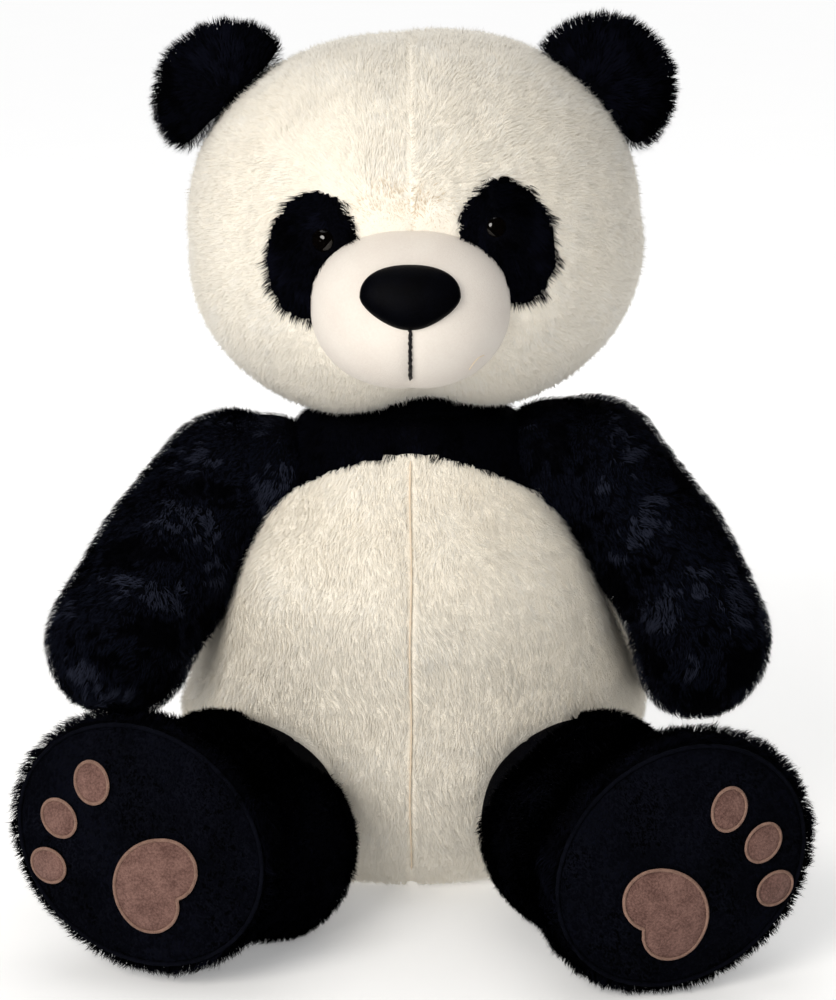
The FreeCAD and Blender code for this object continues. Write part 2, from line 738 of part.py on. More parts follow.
for side, sign in SIDES.items():
    place = leg_place(side)
    axis = place.Rotation.multVec(Z_AXIS)
    outer = leg_form("outer", side, 0.0, place)
    inner = leg_form("inner", side, SKIN, place)
    keep(leg_form("core", side, SKIN + GAP, place), f"leg_filling_{side}")
    leg_skin = cut(f"leg_skin_{side}", outer, inner)
    top = leg_block(f"leg_top_{side}", place, (GAP, -FAR, -FAR))
    under = leg_block(f"leg_under_{side}", place, (-GAP - 2 * FAR, -FAR, -FAR))
    keep(common(f"leg_upper_{side}", leg_skin, top), f"leg_top_panel_{side}")
    keep(common(f"leg_lower_{side}", leg_skin, under), f"leg_under_panel_{side}")

    rim_local = FreeCAD.Vector(size("foot_offset"), 0, size("rim_distance") * LEG_SETTLE[side] + GAP)
    rim_place = place.multiply(FreeCAD.Placement(rim_local, FreeCAD.Rotation()))
    pad_local = FreeCAD.Vector(PAD_RAISE[side], -sign * PAD_SHIFT[side], 0)
    pad_place = rim_place.multiply(FreeCAD.Placement(pad_local, FreeCAD.Rotation()))
    rim = oval(f"sole_rim_{side}", "Dims.rim_half_length", "Dims.rim_half_width", rim_place)
    sole_block = prism(f"sole_block_{side}", rim, axis, SOLE_REACH)
    bulge = sole_ball(f"sole_ball_{side}", side, place, 0.0)
    keep(common(f"sole_{side}", sole_block, bulge), f"foot_sole_{side}")
    pad_layer = cut(
        f"pad_layer_{side}",
        sole_ball(f"pad_top_{side}", side, place, size("pad_thickness")),
        sole_ball(f"pad_seat_{side}", side, place, GAP),
    )
    rings = []
    outlines = {"heel_pad": (pad_outline, ())}
    for toe, fan in (("inner", 1), ("middle", 0), ("outer", -1)):
        outlines[f"toe_pad_{toe}"] = (toe_outline, (sign * fan * size("toe_pad_fan"),))
    for pad, (outline, extra) in outlines.items():
        grown = {}
        for layer, grow in (("pad", 0.0), ("seat", GAP), ("border", size("pad_border"))):
            shape = outline(f"{pad}_{layer}_outline_{side}", pad_place, *extra, grow)
            grown[layer] = prism(f"{pad}_{layer}_{side}", shape, axis, SOLE_REACH)
        keep(common(f"{pad}_{side}_solid", pad_layer, grown["pad"]), f"{pad}_{side}")
        ring = common(f"{pad}_ring_{side}", pad_layer, grown["border"])
        rings.append(cut(f"{pad}_ring_{side}_open", ring, grown["seat"]))
    stitching = doc.addObject("Part::Compound", f"pad_rings_{side}")
    stitching.Links = rings
    keep(stitching, f"pad_stitching_{side}")

# ---------------------------------------------------------------- checks and files

doc.recompute()
for item in doc.Objects:
    if {"Invalid", "Error"} & set(item.State):
        raise RuntimeError(f"{item.Label} did not compute: {item.State}")
for item in parts:
    if item.Shape.isNull() or not item.Shape.isValid() or not item.Shape.Solids:
        raise RuntimeError(f"{item.Label} has no valid solid")

os.makedirs("parts", exist_ok=True)
for item in parts:
    item.Shape.exportStep(f"parts/{item.Label}.step")
    print(f"{item.Label}: {len(item.Shape.Solids)} solid(s), {item.Shape.Volume / 1000:.1f} cm3")
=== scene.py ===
import json
import math

import bmesh
import bpy
import numpy as np
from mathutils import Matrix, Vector


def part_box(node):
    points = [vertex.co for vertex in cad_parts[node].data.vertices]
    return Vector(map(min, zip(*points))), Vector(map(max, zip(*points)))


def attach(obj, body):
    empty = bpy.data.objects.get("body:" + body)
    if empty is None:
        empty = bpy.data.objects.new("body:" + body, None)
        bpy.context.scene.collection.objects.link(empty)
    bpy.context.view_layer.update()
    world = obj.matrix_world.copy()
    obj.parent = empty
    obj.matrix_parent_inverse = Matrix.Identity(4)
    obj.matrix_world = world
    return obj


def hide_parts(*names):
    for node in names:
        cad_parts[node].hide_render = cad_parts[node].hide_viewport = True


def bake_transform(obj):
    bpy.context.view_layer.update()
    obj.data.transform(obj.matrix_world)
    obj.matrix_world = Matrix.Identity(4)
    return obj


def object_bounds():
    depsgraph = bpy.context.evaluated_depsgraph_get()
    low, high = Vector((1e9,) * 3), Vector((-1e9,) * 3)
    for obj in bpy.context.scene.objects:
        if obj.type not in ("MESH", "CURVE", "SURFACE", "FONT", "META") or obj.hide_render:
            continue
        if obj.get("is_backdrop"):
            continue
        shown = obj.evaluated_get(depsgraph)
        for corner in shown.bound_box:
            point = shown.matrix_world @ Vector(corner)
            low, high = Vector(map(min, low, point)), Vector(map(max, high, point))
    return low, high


# A seated plush panda. Each cover is a sewn skin with seams, and its pile is real geometry: thousands of
# tapered tufts that lie the way the fur is combed. Everything is in metres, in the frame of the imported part.

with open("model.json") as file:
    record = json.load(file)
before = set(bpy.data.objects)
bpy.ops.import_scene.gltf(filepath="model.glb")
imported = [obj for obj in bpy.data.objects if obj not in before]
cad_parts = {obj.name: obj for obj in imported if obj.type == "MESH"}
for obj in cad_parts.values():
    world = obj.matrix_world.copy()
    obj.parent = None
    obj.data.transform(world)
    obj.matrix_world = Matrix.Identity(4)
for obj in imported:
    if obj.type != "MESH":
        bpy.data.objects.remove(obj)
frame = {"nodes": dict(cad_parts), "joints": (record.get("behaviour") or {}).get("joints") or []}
cad_low, cad_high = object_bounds()
NODES = frame["nodes"]
JOINTS = {joint["name"]: joint for joint in frame["joints"]}
SIDES = {"left": 1, "right": -1}
MM = 0.001
TAU = 2 * math.pi


def pivot(joint):
    return np.array(JOINTS[joint]["pos_m"], float)


def node_points(*names):
    """All the vertices of some CAD nodes, as one array."""
    return np.concatenate([mesh_arrays(NODES[name].data)[0] for name in names])


def box_of(node):
    """A node's lowest and highest corners, as arrays."""
    return [np.array(corner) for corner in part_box(node)]


def unit(v):
    v = np.asarray(v, float)
    return v / np.maximum(np.linalg.norm(v, axis=-1, keepdims=True), 1e-12)


def clamp(x):
    return np.clip(x, 0, 1)


def gauss(x, width):
    return np.exp(-((x / width) ** 2))


def waves(points, length, seed, count=9):
    """Smooth noise from -1 to 1 with features about one length across."""
    rng = np.random.default_rng(seed)
    total = np.zeros(len(points))
    for _ in range(count):
        way = unit(rng.normal(size=3)) * rng.uniform(0.6, 1.6) * TAU / length
        total += np.sin(points @ way + rng.uniform(0, TAU))
    return total / math.sqrt(count) / 1.2


def drift(points, length, seed):
    """Three smooth noises side by side, a direction that wanders over a surface."""
    return np.stack([waves(points, length, seed + k) for k in range(3)], 1)


# ------------------------------ materials


def new_material(name, color, roughness, **inputs):
    """A Principled material; the other inputs are set on the shader's own sockets."""
    mat = bpy.data.materials.new(name)
    mat.use_nodes = True
    shader = mat.node_tree.nodes["Principled BSDF"]
    shader.inputs["Base Color"].default_value = (*color, 1)
    shader.inputs["Roughness"].default_value = roughness
    for key, value in inputs.items():
        shader.inputs[key.replace("_", " ")].default_value = value
    return mat


def coordinates(mat):
    return mat.node_tree.nodes.new("ShaderNodeTexCoord").outputs["Object"]


def noise_node(mat, scale, detail=2.0):
    node = mat.node_tree.nodes.new("ShaderNodeTexNoise")
    node.inputs["Scale"].default_value = scale
    node.inputs["Detail"].default_value = detail
    mat.node_tree.links.new(coordinates(mat), node.inputs["Vector"])
    return node.outputs["Fac"]


def paint(mat, low, high, scale, fine_scale, fine_share=0.4):
    """Base colour that wanders between two colours, in broad patches and in fine ones."""
    tree = mat.node_tree
    mix = tree.nodes.new("ShaderNodeMix")
    mix.inputs["Factor"].default_value = fine_share
    tree.links.new(noise_node(mat, scale), mix.inputs["A"])
    tree.links.new(noise_node(mat, fine_scale, 1.0), mix.inputs["B"])
    ramp = tree.nodes.new("ShaderNodeValToRGB")
    ramp.color_ramp.elements[0].position, ramp.color_ramp.elements[1].position = 0.34, 0.66
    ramp.color_ramp.elements[0].color = (*low, 1)
    ramp.color_ramp.elements[1].color = (*high, 1)
    tree.links.new(mix.outputs["Result"], ramp.inputs["Fac"])
    tree.links.new(ramp.outputs["Color"], tree.nodes["Principled BSDF"].inputs["Base Color"])
    return mat


def bump(mat, scale, strength, distance, detail=3.0):
    tree = mat.node_tree
    node = tree.nodes.new("ShaderNodeBump")
    node.inputs["Strength"].default_value = strength
    node.inputs["Distance"].default_value = distance
    tree.links.new(noise_node(mat, scale, detail), node.inputs["Height"])
    tree.links.new(node.outputs["Normal"], tree.nodes["Principled BSDF"].inputs["Normal"])
    return mat


# the pale skin under the pile is a slightly darker cream than the fur, painted shade in the gaps between the
# tufts
IVORY_PAINTED_SHADE = (0.91, 0.85, 0.74)
INK = (0.0035, 0.0038, 0.0065)


def pile_tones(name, deep_shade, root, tip, stray_and_sheen, sheen, tint, specular=0.12):
    """The tones of one fur. The darkest, on some whole clumps, and the root tone, on the tufts' lower halves,
    are painted shade of the pile; the tip tone and the palest, on the odd clump, are lighter, and on the dark
    furs they are painted bluish sheen.
    """
    tones = []
    for part, color in (("deep_shade", deep_shade), ("root", root), ("tip", tip), ("stray_and_sheen", stray_and_sheen)):
        mat = new_material(
            f"{name}_{part}", color, 0.82, Specular_IOR_Level=specular, Sheen_Weight=sheen,
            Sheen_Roughness=0.45, Sheen_Tint=(*tint, 1),
        )
        tones.append(paint(mat, [c * 0.965 for c in color], [min(1.0, c * 1.02) for c in color], 55, 520))
    return tones


ivory_pile = pile_tones(
    "ivory_pile", (0.925, 0.875, 0.775), (0.935, 0.885, 0.785), (0.945, 0.90, 0.805), (0.955, 0.915, 0.83),
    0.2, (1, 0.98, 0.94),
)
tan_pile = pile_tones(
    "tan_pile", (0.72, 0.59, 0.43), (0.75, 0.63, 0.47), (0.80, 0.70, 0.56), (0.84, 0.76, 0.64),
    0.1, (1, 0.95, 0.85),
)
# ink pile and jet pile are the same black plush; the ink pile of the arms and shoulders has lighter bluish
# tips and pale tufts, painted sheen, and the jet pile is a darker copy with far less of it
ink_pile = pile_tones(
    "ink_pile", (0.0005, 0.0005, 0.001), (0.0015, 0.0017, 0.0036), (0.005, 0.006, 0.0115),
    (0.019, 0.022, 0.037), 0.01, (0.55, 0.65, 1.0), 0.01,
)
jet_pile = pile_tones(
    "jet_pile", (0.0005, 0.0005, 0.0009), (0.0008, 0.0009, 0.0018), (0.0018, 0.002, 0.0042),
    (0.0032, 0.0036, 0.0075), 0.005, (0.55, 0.65, 1.0), 0.01,
)


def cloth(name, color, roughness, low, high, patches, grain, share=0.4, weave=None, **inputs):
    """Cloth or thread: colour in patches and fine grain, and a weave of (scale, strength, distance)."""
    mat = paint(new_material(name, color, roughness, **inputs), low, high, patches, grain, share)
    return bump(mat, *weave) if weave else mat


COOL_SHEEN, WARM_SHEEN = (0.6, 0.7, 1, 1), (1, 0.8, 0.74, 1)
# the pale skin's cream is a little darker than the fur above it, painted shade between the tufts
ivory_skin = cloth(
    "ivory_skin", IVORY_PAINTED_SHADE, 0.9, IVORY_PAINTED_SHADE, (0.93, 0.88, 0.78), 60, 400,
    weave=(900, 0.6, 0.0012), Sheen_Weight=0.1,
)
ink_skin = cloth(
    "ink_skin", INK, 0.9, (0.0008, 0.0008, 0.0016), (0.0018, 0.002, 0.0038), 60, 400,
    weave=(900, 0.6, 0.0012), Specular_IOR_Level=0.02,
)
sole_cloth = cloth(
    "sole_cloth", INK, 0.8, (0.001, 0.0012, 0.0024), (0.003, 0.0034, 0.0066), 42, 650,
    weave=(1500, 0.5, 0.0006), Specular_IOR_Level=0.02, Sheen_Weight=0.01, Sheen_Tint=COOL_SHEEN,
)
muzzle_cloth = cloth(
    "muzzle_cloth", (0.76, 0.70, 0.635), 0.85, (0.74, 0.675, 0.61), (0.78, 0.725, 0.66), 45, 700,
    weave=(1300, 0.5, 0.0005), Specular_IOR_Level=0.1, Sheen_Weight=0.15,
)
nose_cloth = cloth(
    "nose_cloth", INK, 0.45, (0.0008, 0.0008, 0.0014), (0.0015, 0.0017, 0.0032), 90, 900,
    weave=(2400, 0.45, 0.0004), Specular_IOR_Level=0.03, Sheen_Tint=COOL_SHEEN,
)
pad_cloth = cloth(
    "pad_cloth", (0.15, 0.078, 0.062), 0.8, (0.09, 0.044, 0.036), (0.205, 0.113, 0.093), 130, 900, 0.55,
    weave=(1700, 0.7, 0.0008), Specular_IOR_Level=0.15, Sheen_Weight=0.12, Sheen_Tint=WARM_SHEEN,
)
border_thread = cloth(
    "border_thread", (0.24, 0.14, 0.10), 0.5, (0.17, 0.095, 0.07), (0.30, 0.18, 0.135), 300, 1800, 0.5,
    Specular_IOR_Level=0.3, Sheen_Weight=0.1,
)
mouth_thread = cloth(
    "mouth_thread", (0.006, 0.005, 0.006), 0.5, (0.004, 0.004, 0.005), (0.016, 0.014, 0.016), 500, 2500,
    Specular_IOR_Level=0.4,
)
seam_thread = cloth("seam_thread", (0.80, 0.66, 0.50), 0.8, (0.76, 0.62, 0.46), (0.84, 0.71, 0.55), 200, 900)
label_cloth = cloth(
    "label_cloth", (0.8, 0.8, 0.78), 0.6, (0.76, 0.76, 0.73), (0.84, 0.84, 0.82), 250, 1500,
    weave=(2200, 0.4, 0.0003), Sheen_Weight=0.2,
)
eye_gloss = cloth(
    "eye_gloss", (0.001, 0.001, 0.001), 0.05, (0.0008, 0.0006, 0.0005), (0.002, 0.0013, 0.001), 350, 900,
    Specular_IOR_Level=0.5,
)
washer_nylon = cloth("washer_nylon", (0.8, 0.8, 0.78), 0.5, (0.76, 0.76, 0.74), (0.84, 0.84, 0.82), 200, 900)


# ------------------------------ soft forms


def link(obj):
    bpy.context.scene.collection.objects.link(obj)
    return obj


def mesh_object(name, verts, faces, mat):
    mesh = bpy.data.meshes.new(name)
    mesh.from_pydata([tuple(v) for v in verts], [], [tuple(f) for f in faces])
    mesh.materials.append(mat)
    mesh.shade_smooth()
    return link(bpy.data.objects.new(name, mesh))


def join_points(mesh, outward=None):
    """Joins doubled points and turns the faces outward: towards a direction, if one is given."""
    bm = bmesh.new()
    bm.from_mesh(mesh)
    bmesh.ops.remove_doubles(bm, verts=bm.verts, dist=1e-7)
    bmesh.ops.recalc_face_normals(bm, faces=bm.faces)
    if outward is not None and sum(face.normal.dot(Vector(outward)) for face in bm.faces) < 0:
        bmesh.ops.reverse_faces(bm, faces=bm.faces)
    bm.to_mesh(mesh)
    bm.free()


def disc_faces(rings, segments):
    """The faces between rings of points that grow from a middle."""
    faces = []
    for i in range(rings):
        for k in range(segments):
            n = (k + 1) % segments
            faces.append((i * segments + k, (i + 1) * segments + k, (i + 1) * segments + n, i * segments + n))
    return faces


def place(obj, body, slot, *nodes, fill=None):
    """Says which body a piece rides and the nodes it shows; the slot and fill arguments are not used."""
    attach(obj, body)
    if nodes:
        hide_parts(*nodes)
    return obj


def evaluated(obj):
    """A new mesh with all the object's modifiers in it; the object itself is removed."""
    graph = bpy.context.evaluated_depsgraph_get()
    mesh = bpy.data.meshes.new_from_object(obj.evaluated_get(graph))
    bpy.data.objects.remove(obj)
    return mesh


def mesh_arrays(mesh):
    co = np.empty(len(mesh.vertices) * 3, np.float32)
    mesh.vertices.foreach_get("co", co)
    mesh.calc_loop_triangles()
    tris = np.empty(len(mesh.loop_triangles) * 3, np.int32)
    mesh.loop_triangles.foreach_get("vertices", tris)
    return co.reshape(-1, 3).astype(float), tris.reshape(-1, 3)


def surface_normals(co, tris):
    cross = np.cross(co[tris[:, 1]] - co[tris[:, 0]], co[tris[:, 2]] - co[tris[:, 0]])
    normals = np.zeros_like(co)
    for corner in range(3):
        np.add.at(normals, tris[:, corner], cross)
    return unit(normals)


def normals_of(mesh):
    return surface_normals(*mesh_arrays(mesh))


def set_points(mesh, co):
    mesh.vertices.foreach_set("co", np.ascontiguousarray(co, np.float32).ravel())
    mesh.update()


def cad_form(name, nodes, voxel=0.005, rounds=6):
    """One closed soft form around some CAD nodes, remeshed evenly, with their edges rounded off."""
    bm = bmesh.new()
    for node in nodes:
        bm.from_mesh(NODES[node].data)
    mesh = bpy.data.meshes.new(name)
    bm.to_mesh(mesh)
    bm.free()
    obj = link(bpy.data.objects.new(name, mesh))
    remesh = obj.modifiers.new("remesh", "REMESH")
    remesh.mode = "VOXEL"
    remesh.voxel_size = voxel
    soften = obj.modifiers.new("soften", "SMOOTH")
    soften.factor = 0.5
    soften.iterations = rounds
    return evaluated(obj)


def puff(name, mesh, held, cap):
    """Fills a sewn form with air: a short cloth simulation that the seams hold back.

    held is 1 on seam vertices and 0 between them; no point moves by more than cap.
    """
    start, _ = mesh_arrays(mesh)
    obj = link(bpy.data.objects.new(name, mesh))
    group = obj.vertex_groups.new(name="seams")
    for index in np.nonzero(held > 0.02)[0]:
        group.add([int(index)], float(held[index]), "REPLACE")
    settings = obj.modifiers.new("cloth", "CLOTH").settings
    settings.quality = 5
    settings.mass = 0.3
    settings.tension_stiffness = 12
    settings.compression_stiffness = 12
    settings.bending_stiffness = 0.5
    settings.use_pressure = True
    settings.uniform_pressure_force = 4
    settings.vertex_group_mass = "seams"
    settings.effector_weights.gravity = 0
    scene = bpy.context.scene
    for step in range(1, 21):
        scene.frame_set(step)
    result = evaluated(obj)
    end, _ = mesh_arrays(result)
    scene.frame_set(1)
    moved = end - start
    far = np.linalg.norm(moved, axis=1, keepdims=True)
    set_points(result, start + moved * np.minimum(1, cap / np.maximum(far, 1e-9)))
    return result


def swell(mesh, amount):
    """Moves a form's surface outward, evenly or by an amount for each point."""
    co, tris = mesh_arrays(mesh)
    set_points(mesh, co + surface_normals(co, tris) * np.reshape(amount, (-1, 1)))


def keep_off_floor(mesh, gap):
    co, _ = mesh_arrays(mesh)
    co[:, 2] = np.maximum(co[:, 2], cad_low[2] + gap)
    set_points(mesh, co)


def refine(name, mesh):
    obj = link(bpy.data.objects.new(name, mesh))
    obj.modifiers.new("subdivide", "SUBSURF").levels = 1
    return evaluated(obj)


# how far a seam holds the cloth back, and how far a panel's edge is pulled in
SEAM_WIDTH, SEAM_TUCK = 4 * MM, 0.7 * MM


def cover(name, mesh, keep, mat, body, nodes, slot, fill):
    """One sewn panel: the faces of a form whose middles pass a test, with the panel's edge pulled in."""
    bm = bmesh.new()
    bm.from_mesh(mesh)
    middles = np.array([face.calc_center_median()[:] for face in bm.faces])
    drop = [face for face, wanted in zip(bm.faces, keep(middles)) if not wanted]
    bmesh.ops.delete(bm, geom=drop, context="FACES")
    bm.normal_update()
    for vert in bm.verts:
        if vert.is_boundary:
            vert.co -= vert.normal * SEAM_TUCK
    panel = bpy.data.meshes.new(name)
    bm.to_mesh(panel)
    bm.free()
    panel.materials.clear()
    panel.materials.append(mat)
    panel.shade_smooth()
    return place(link(bpy.data.objects.new(name, panel)), body, slot, *nodes, fill=fill)


def two_panels(mesh, is_first, body, nodes, fill):
    """A dark form's two sewn panels, named after their nodes. The second one also stands for the filling."""
    for node, keep in zip(nodes, (is_first, lambda p: ~is_first(p))):
        panel = cover(node.replace("panel", "cover"), mesh, keep, ink_skin, body, [node], "black_plush", fill)
    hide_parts(nodes[2])


# ------------------------------ pile


def scatter(mesh, density, seed):
    """Random places on a surface, with a normal at each: density counts them per square millimetre."""
    rng = np.random.default_rng(seed)
    co, tris = mesh_arrays(mesh)
    a, b, c = co[tris[:, 0]], co[tris[:, 1]], co[tris[:, 2]]
    area = np.linalg.norm(np.cross(b - a, c - a), axis=1) / 2
    count = int(area.sum() * 1e6 * density)
    pick = rng.choice(len(tris), count, p=area / area.sum())
    normals = surface_normals(co, tris)
    u, v = rng.random(count), rng.random(count)
    flip = u + v > 1
    u[flip], v[flip] = 1 - u[flip], 1 - v[flip]
    share = np.stack([1 - u - v, u, v], 1)[:, :, None]
    corners = tris[pick]
    return (co[corners] * share).sum(1), unit((normals[corners] * share).sum(1))


def tangent(way, normals):
    return unit(way - normals * (way * normals).sum(1, keepdims=True))


def pile(name, roots, normals, comb, materials, body, slot, seed, length=5.4, width=0.32, lean=1.02,
         clump=6.0, gather=0.07, unruly=0.12, bend=0.85, ruffle=0.12, spread=None):
    """A field of tapered tufts. comb is the way each lies, lean how far it lies over, and the tufts of one
    clump gather towards its middle. Lengths are in millimetres. Each tuft is a folded blade of two faces."""
    rng = np.random.default_rng(seed)
    count = len(roots)
    cell_size = clump * MM
    warp = np.stack([waves(roots, 3 * cell_size, seed + k, 5) for k in (1, 2, 3)], 1) * 0.45 * cell_size
    cell = np.floor((roots + warp) / cell_size).astype(np.int64)
    cell -= cell.min(0)
    key = (cell[:, 0] << 40) + (cell[:, 1] << 20) + cell[:, 2]
    _, which, sizes = np.unique(key, return_inverse=True, return_counts=True)
    middle = np.stack([np.bincount(which, roots[:, k]) for k in range(3)], 1) / sizes[:, None]
    groups = len(sizes)
    clump_turn = rng.normal(0, unruly, groups)[which]
    clump_tall = rng.normal(1, 0.06, groups)[which]
    clump_tone = 0.5 * rng.random(groups)[which] + 0.35 * waves(roots, 0.04, seed + 9)

    way = tangent(comb, normals)
    side = np.cross(normals, way)
    turn = (clump_turn + rng.normal(0, 0.12, count) + 0.25 * waves(roots, 0.03, seed + 7))[:, None]
    way = unit(way * np.cos(turn) + side * np.sin(turn))
    side = np.cross(normals, way)
    tall = (length * MM * clump_tall * rng.uniform(0.75, 1.12, count))[:, None]
    if spread is not None:
        tall = tall * spread[:, None]
    loose = rng.random(count) < 0.07
    tilt = np.clip(lean * np.where(loose, 0.55, 1) + rng.normal(0, 0.10, count), 0.1, 1.3)[:, None]
    inward = middle[which] - roots
    inward -= normals * (inward * normals).sum(1, keepdims=True)
    first = normals * np.cos(tilt * bend) + way * np.sin(tilt * bend)
    second = normals * np.cos(tilt * 1.25) + way * np.sin(tilt * 1.25)
    low = roots - normals * 0.4 * MM
    knee = low + first * tall * 0.5 + inward * gather * 0.35
    tip = knee + second * tall * 0.55 + inward * gather
    twist = rng.normal(0, ruffle, count)[:, None]
    across = unit(side * np.cos(twist) + normals * np.sin(twist))
    half = (width * MM * 0.5 * rng.uniform(0.75, 1.25, count))[:, None]
    points = np.stack([low + across * half, low - across * half, knee + across * half * 0.85,
                       knee - across * half * 0.85, tip], 1)
    points[:, :, 2] = np.maximum(points[:, :, 2], 0.3 * MM)
    wobble = rng.normal(0, 0.6, count)[:, None]
    soft = unit(normals + 0.12 * way + 0.16 * across * wobble - 0.10 * unit(inward + 1e-9))
    shades = np.repeat(soft[:, None, :], 5, 1)
    shades[:, 4] = unit(soft + 0.15 * way)

    mesh = bpy.data.meshes.new(name)
    mesh.vertices.add(count * 5)
    mesh.vertices.foreach_set("co", points.astype(np.float32).ravel())
    first_vert = np.arange(count, dtype=np.int32)[:, None] * 5
    loops = first_vert + np.array([0, 1, 3, 2, 2, 3, 4], np.int32)
    mesh.loops.add(count * 7)
    mesh.loops.foreach_set("vertex_index", loops.ravel())
    mesh.polygons.add(count * 2)
    starts = np.arange(count, dtype=np.int32)[:, None] * 7 + np.array([0, 4], np.int32)
    mesh.polygons.foreach_set("loop_start", starts.ravel())
    # the clumps lowest in tone are painted shade all along, the highest take the palest tone, on the dark furs
    # a painted sheen, and the rest are darker at the root than at the tip, painted shade low in the pile
    low, high = np.quantile(clump_tone, [0.18, 0.86])
    tone = np.where(clump_tone < low, 0, np.where(clump_tone > high, 3, 1))
    slots = np.stack([tone, np.where(tone == 1, 2, tone)], 1).astype(np.int32)
    mesh.update(calc_edges=True)
    for mat in materials:
        mesh.materials.append(mat)
    mesh.polygons.foreach_set("material_index", slots.ravel())
    custom = mesh.attributes.new("custom_normal", "FLOAT_VECTOR", "POINT")
    custom.data.foreach_set("vector", shades.astype(np.float32).ravel())
    spot = mesh.uv_layers.new(name="OFBake")
    corner = points.reshape(-1, 3)[loops.ravel()]
    centre = roots.mean(0)
    around = np.arctan2(corner[:, 0] - centre[0], corner[:, 1] - centre[1]) / TAU + 0.5
    height = (corner[:, 2] - corner[:, 2].min()) / max(np.ptp(corner[:, 2]), 1e-6)
    spot.data.foreach_set("uv", np.stack([around, height], 1).astype(np.float32).ravel())
    mesh.update()
    obj = link(bpy.data.objects.new(name, mesh))
    if body:
        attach(obj, body)
    return obj


# ------------------------------ body

axis_y = pivot("neck_turn")[1]
hips = {side: pivot(f"hip_{side}") for side in SIDES}
shoulders = {side: pivot(f"shoulder_{side}") for side in SIDES}
HIP_BALL = 54 * MM
REAR_PILE = {"lean": 0.84, "unruly": 0.24, "gather": 0.13}
SHAGGY = {"bend": 0.6, "ruffle": 0.4}
ARCH_RADIUS, ARCH_HEIGHT = 131 * MM, 115 * MM
BACK_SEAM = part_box("back_yoke")[0].z
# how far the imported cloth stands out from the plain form, and where
CHEST_LEVEL, CHEST_FILL = 185 * MM, 5 * MM
WAIST_LEVEL, SIDE_FILL = 120 * MM, {"left": 8 * MM, "right": 4 * MM}
TOP_LEVEL, TOP_LIFT = 236 * MM, 6 * MM
NECK_RADIUS, SKIN_LIFT = 30 * MM, 2.5 * MM
NECK_BARE, SEAT_BARE = 36 * MM, 2.5 * MM

TORSO_NODES = [
    "belly_panel_left", "belly_panel_right", "chest_yoke", "back_yoke", "back_panel_left",
    "back_panel_right", "body_filling",
]
torso_mesh = cad_form("torso_form", TORSO_NODES, 0.005, 5)


def dark_torso(p):
    """Which places on the body belong to the dark yokes."""
    front = p[:, 1] < axis_y
    aside = np.abs(p[:, 0]) / (1.07 * ARCH_RADIUS)
    above = np.clip((p[:, 2] - ARCH_HEIGHT) / ARCH_RADIUS, 0, None)
    arch = (aside**1.7 + above**1.7 > 1) & (above > 0)
    return np.where(front, arch, p[:, 2] > BACK_SEAM)


co, _ = mesh_arrays(torso_mesh)
seams = np.maximum(gauss(co[:, 0], SEAM_WIDTH), gauss(co[:, 1] - axis_y, SEAM_WIDTH))
seams = np.maximum(seams, (co[:, 2] < 6 * MM) | (co[:, 2] > 246 * MM))
for side in SIDES:
    near_hip = np.linalg.norm(co - hips[side], axis=1) < HIP_BALL + 4 * MM
    seams = np.maximum(seams, near_hip)
torso_mesh = puff("torso_puff", torso_mesh, seams, 4 * MM)
co, _ = mesh_arrays(torso_mesh)
out = np.stack([co[:, 0], co[:, 1] - axis_y, np.zeros(len(co))], 1)
chest = gauss(co[:, 2] - CHEST_LEVEL, 38 * MM)
side_fill = gauss(co[:, 2] - WAIST_LEVEL, 45 * MM) * clamp(np.abs(unit(out)[:, 0]) * 1.5 - 0.4)
side_fill *= np.where(co[:, 0] > 0, SIDE_FILL["left"], SIDE_FILL["right"])
co += unit(out) * (CHEST_FILL * chest + side_fill)[:, None]
off_neck = np.hypot(out[:, 0], out[:, 1]) > NECK_RADIUS
co[:, 2] += TOP_LIFT * clamp((co[:, 2] - TOP_LEVEL) / (18 * MM)) * off_neck
set_points(torso_mesh, co)
swell(torso_mesh, np.where(off_neck, SKIN_LIFT, 0))
keep_off_floor(torso_mesh, 0.5 * MM)
torso_mesh = refine("torso_fine", torso_mesh)


def on_side(p, side):
    return (p[:, 0] >= 0) == (side == "left")


def torso_panel(cover_name, node, ahead, dark, side=None):
    """One panel of the body: ahead of its axis or behind, dark or pale, on one side or both."""

    def is_panel(p):
        inside = ((p[:, 1] < axis_y) == ahead) & (dark_torso(p) == dark)
        return inside if side is None else inside & on_side(p, side)

    skin, slot = (ink_skin, "black_plush") if dark else (ivory_skin, "ivory_plush")
    return cover(cover_name, torso_mesh, is_panel, skin, "torso", [node], slot, 0.75)


for side in SIDES:
    belly = torso_panel(f"belly_cover_{side}", f"belly_panel_{side}", True, False, side)
    if side == "left":
        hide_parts("body_filling")
torso_panel("chest_cover", "chest_yoke", True, True)
torso_panel("back_yoke_cover", "back_yoke", False, True)
for side in SIDES:
    torso_panel(f"back_cover_{side}", f"back_panel_{side}", False, False, side)

spots, normals = scatter(torso_mesh, 0.98, 11)
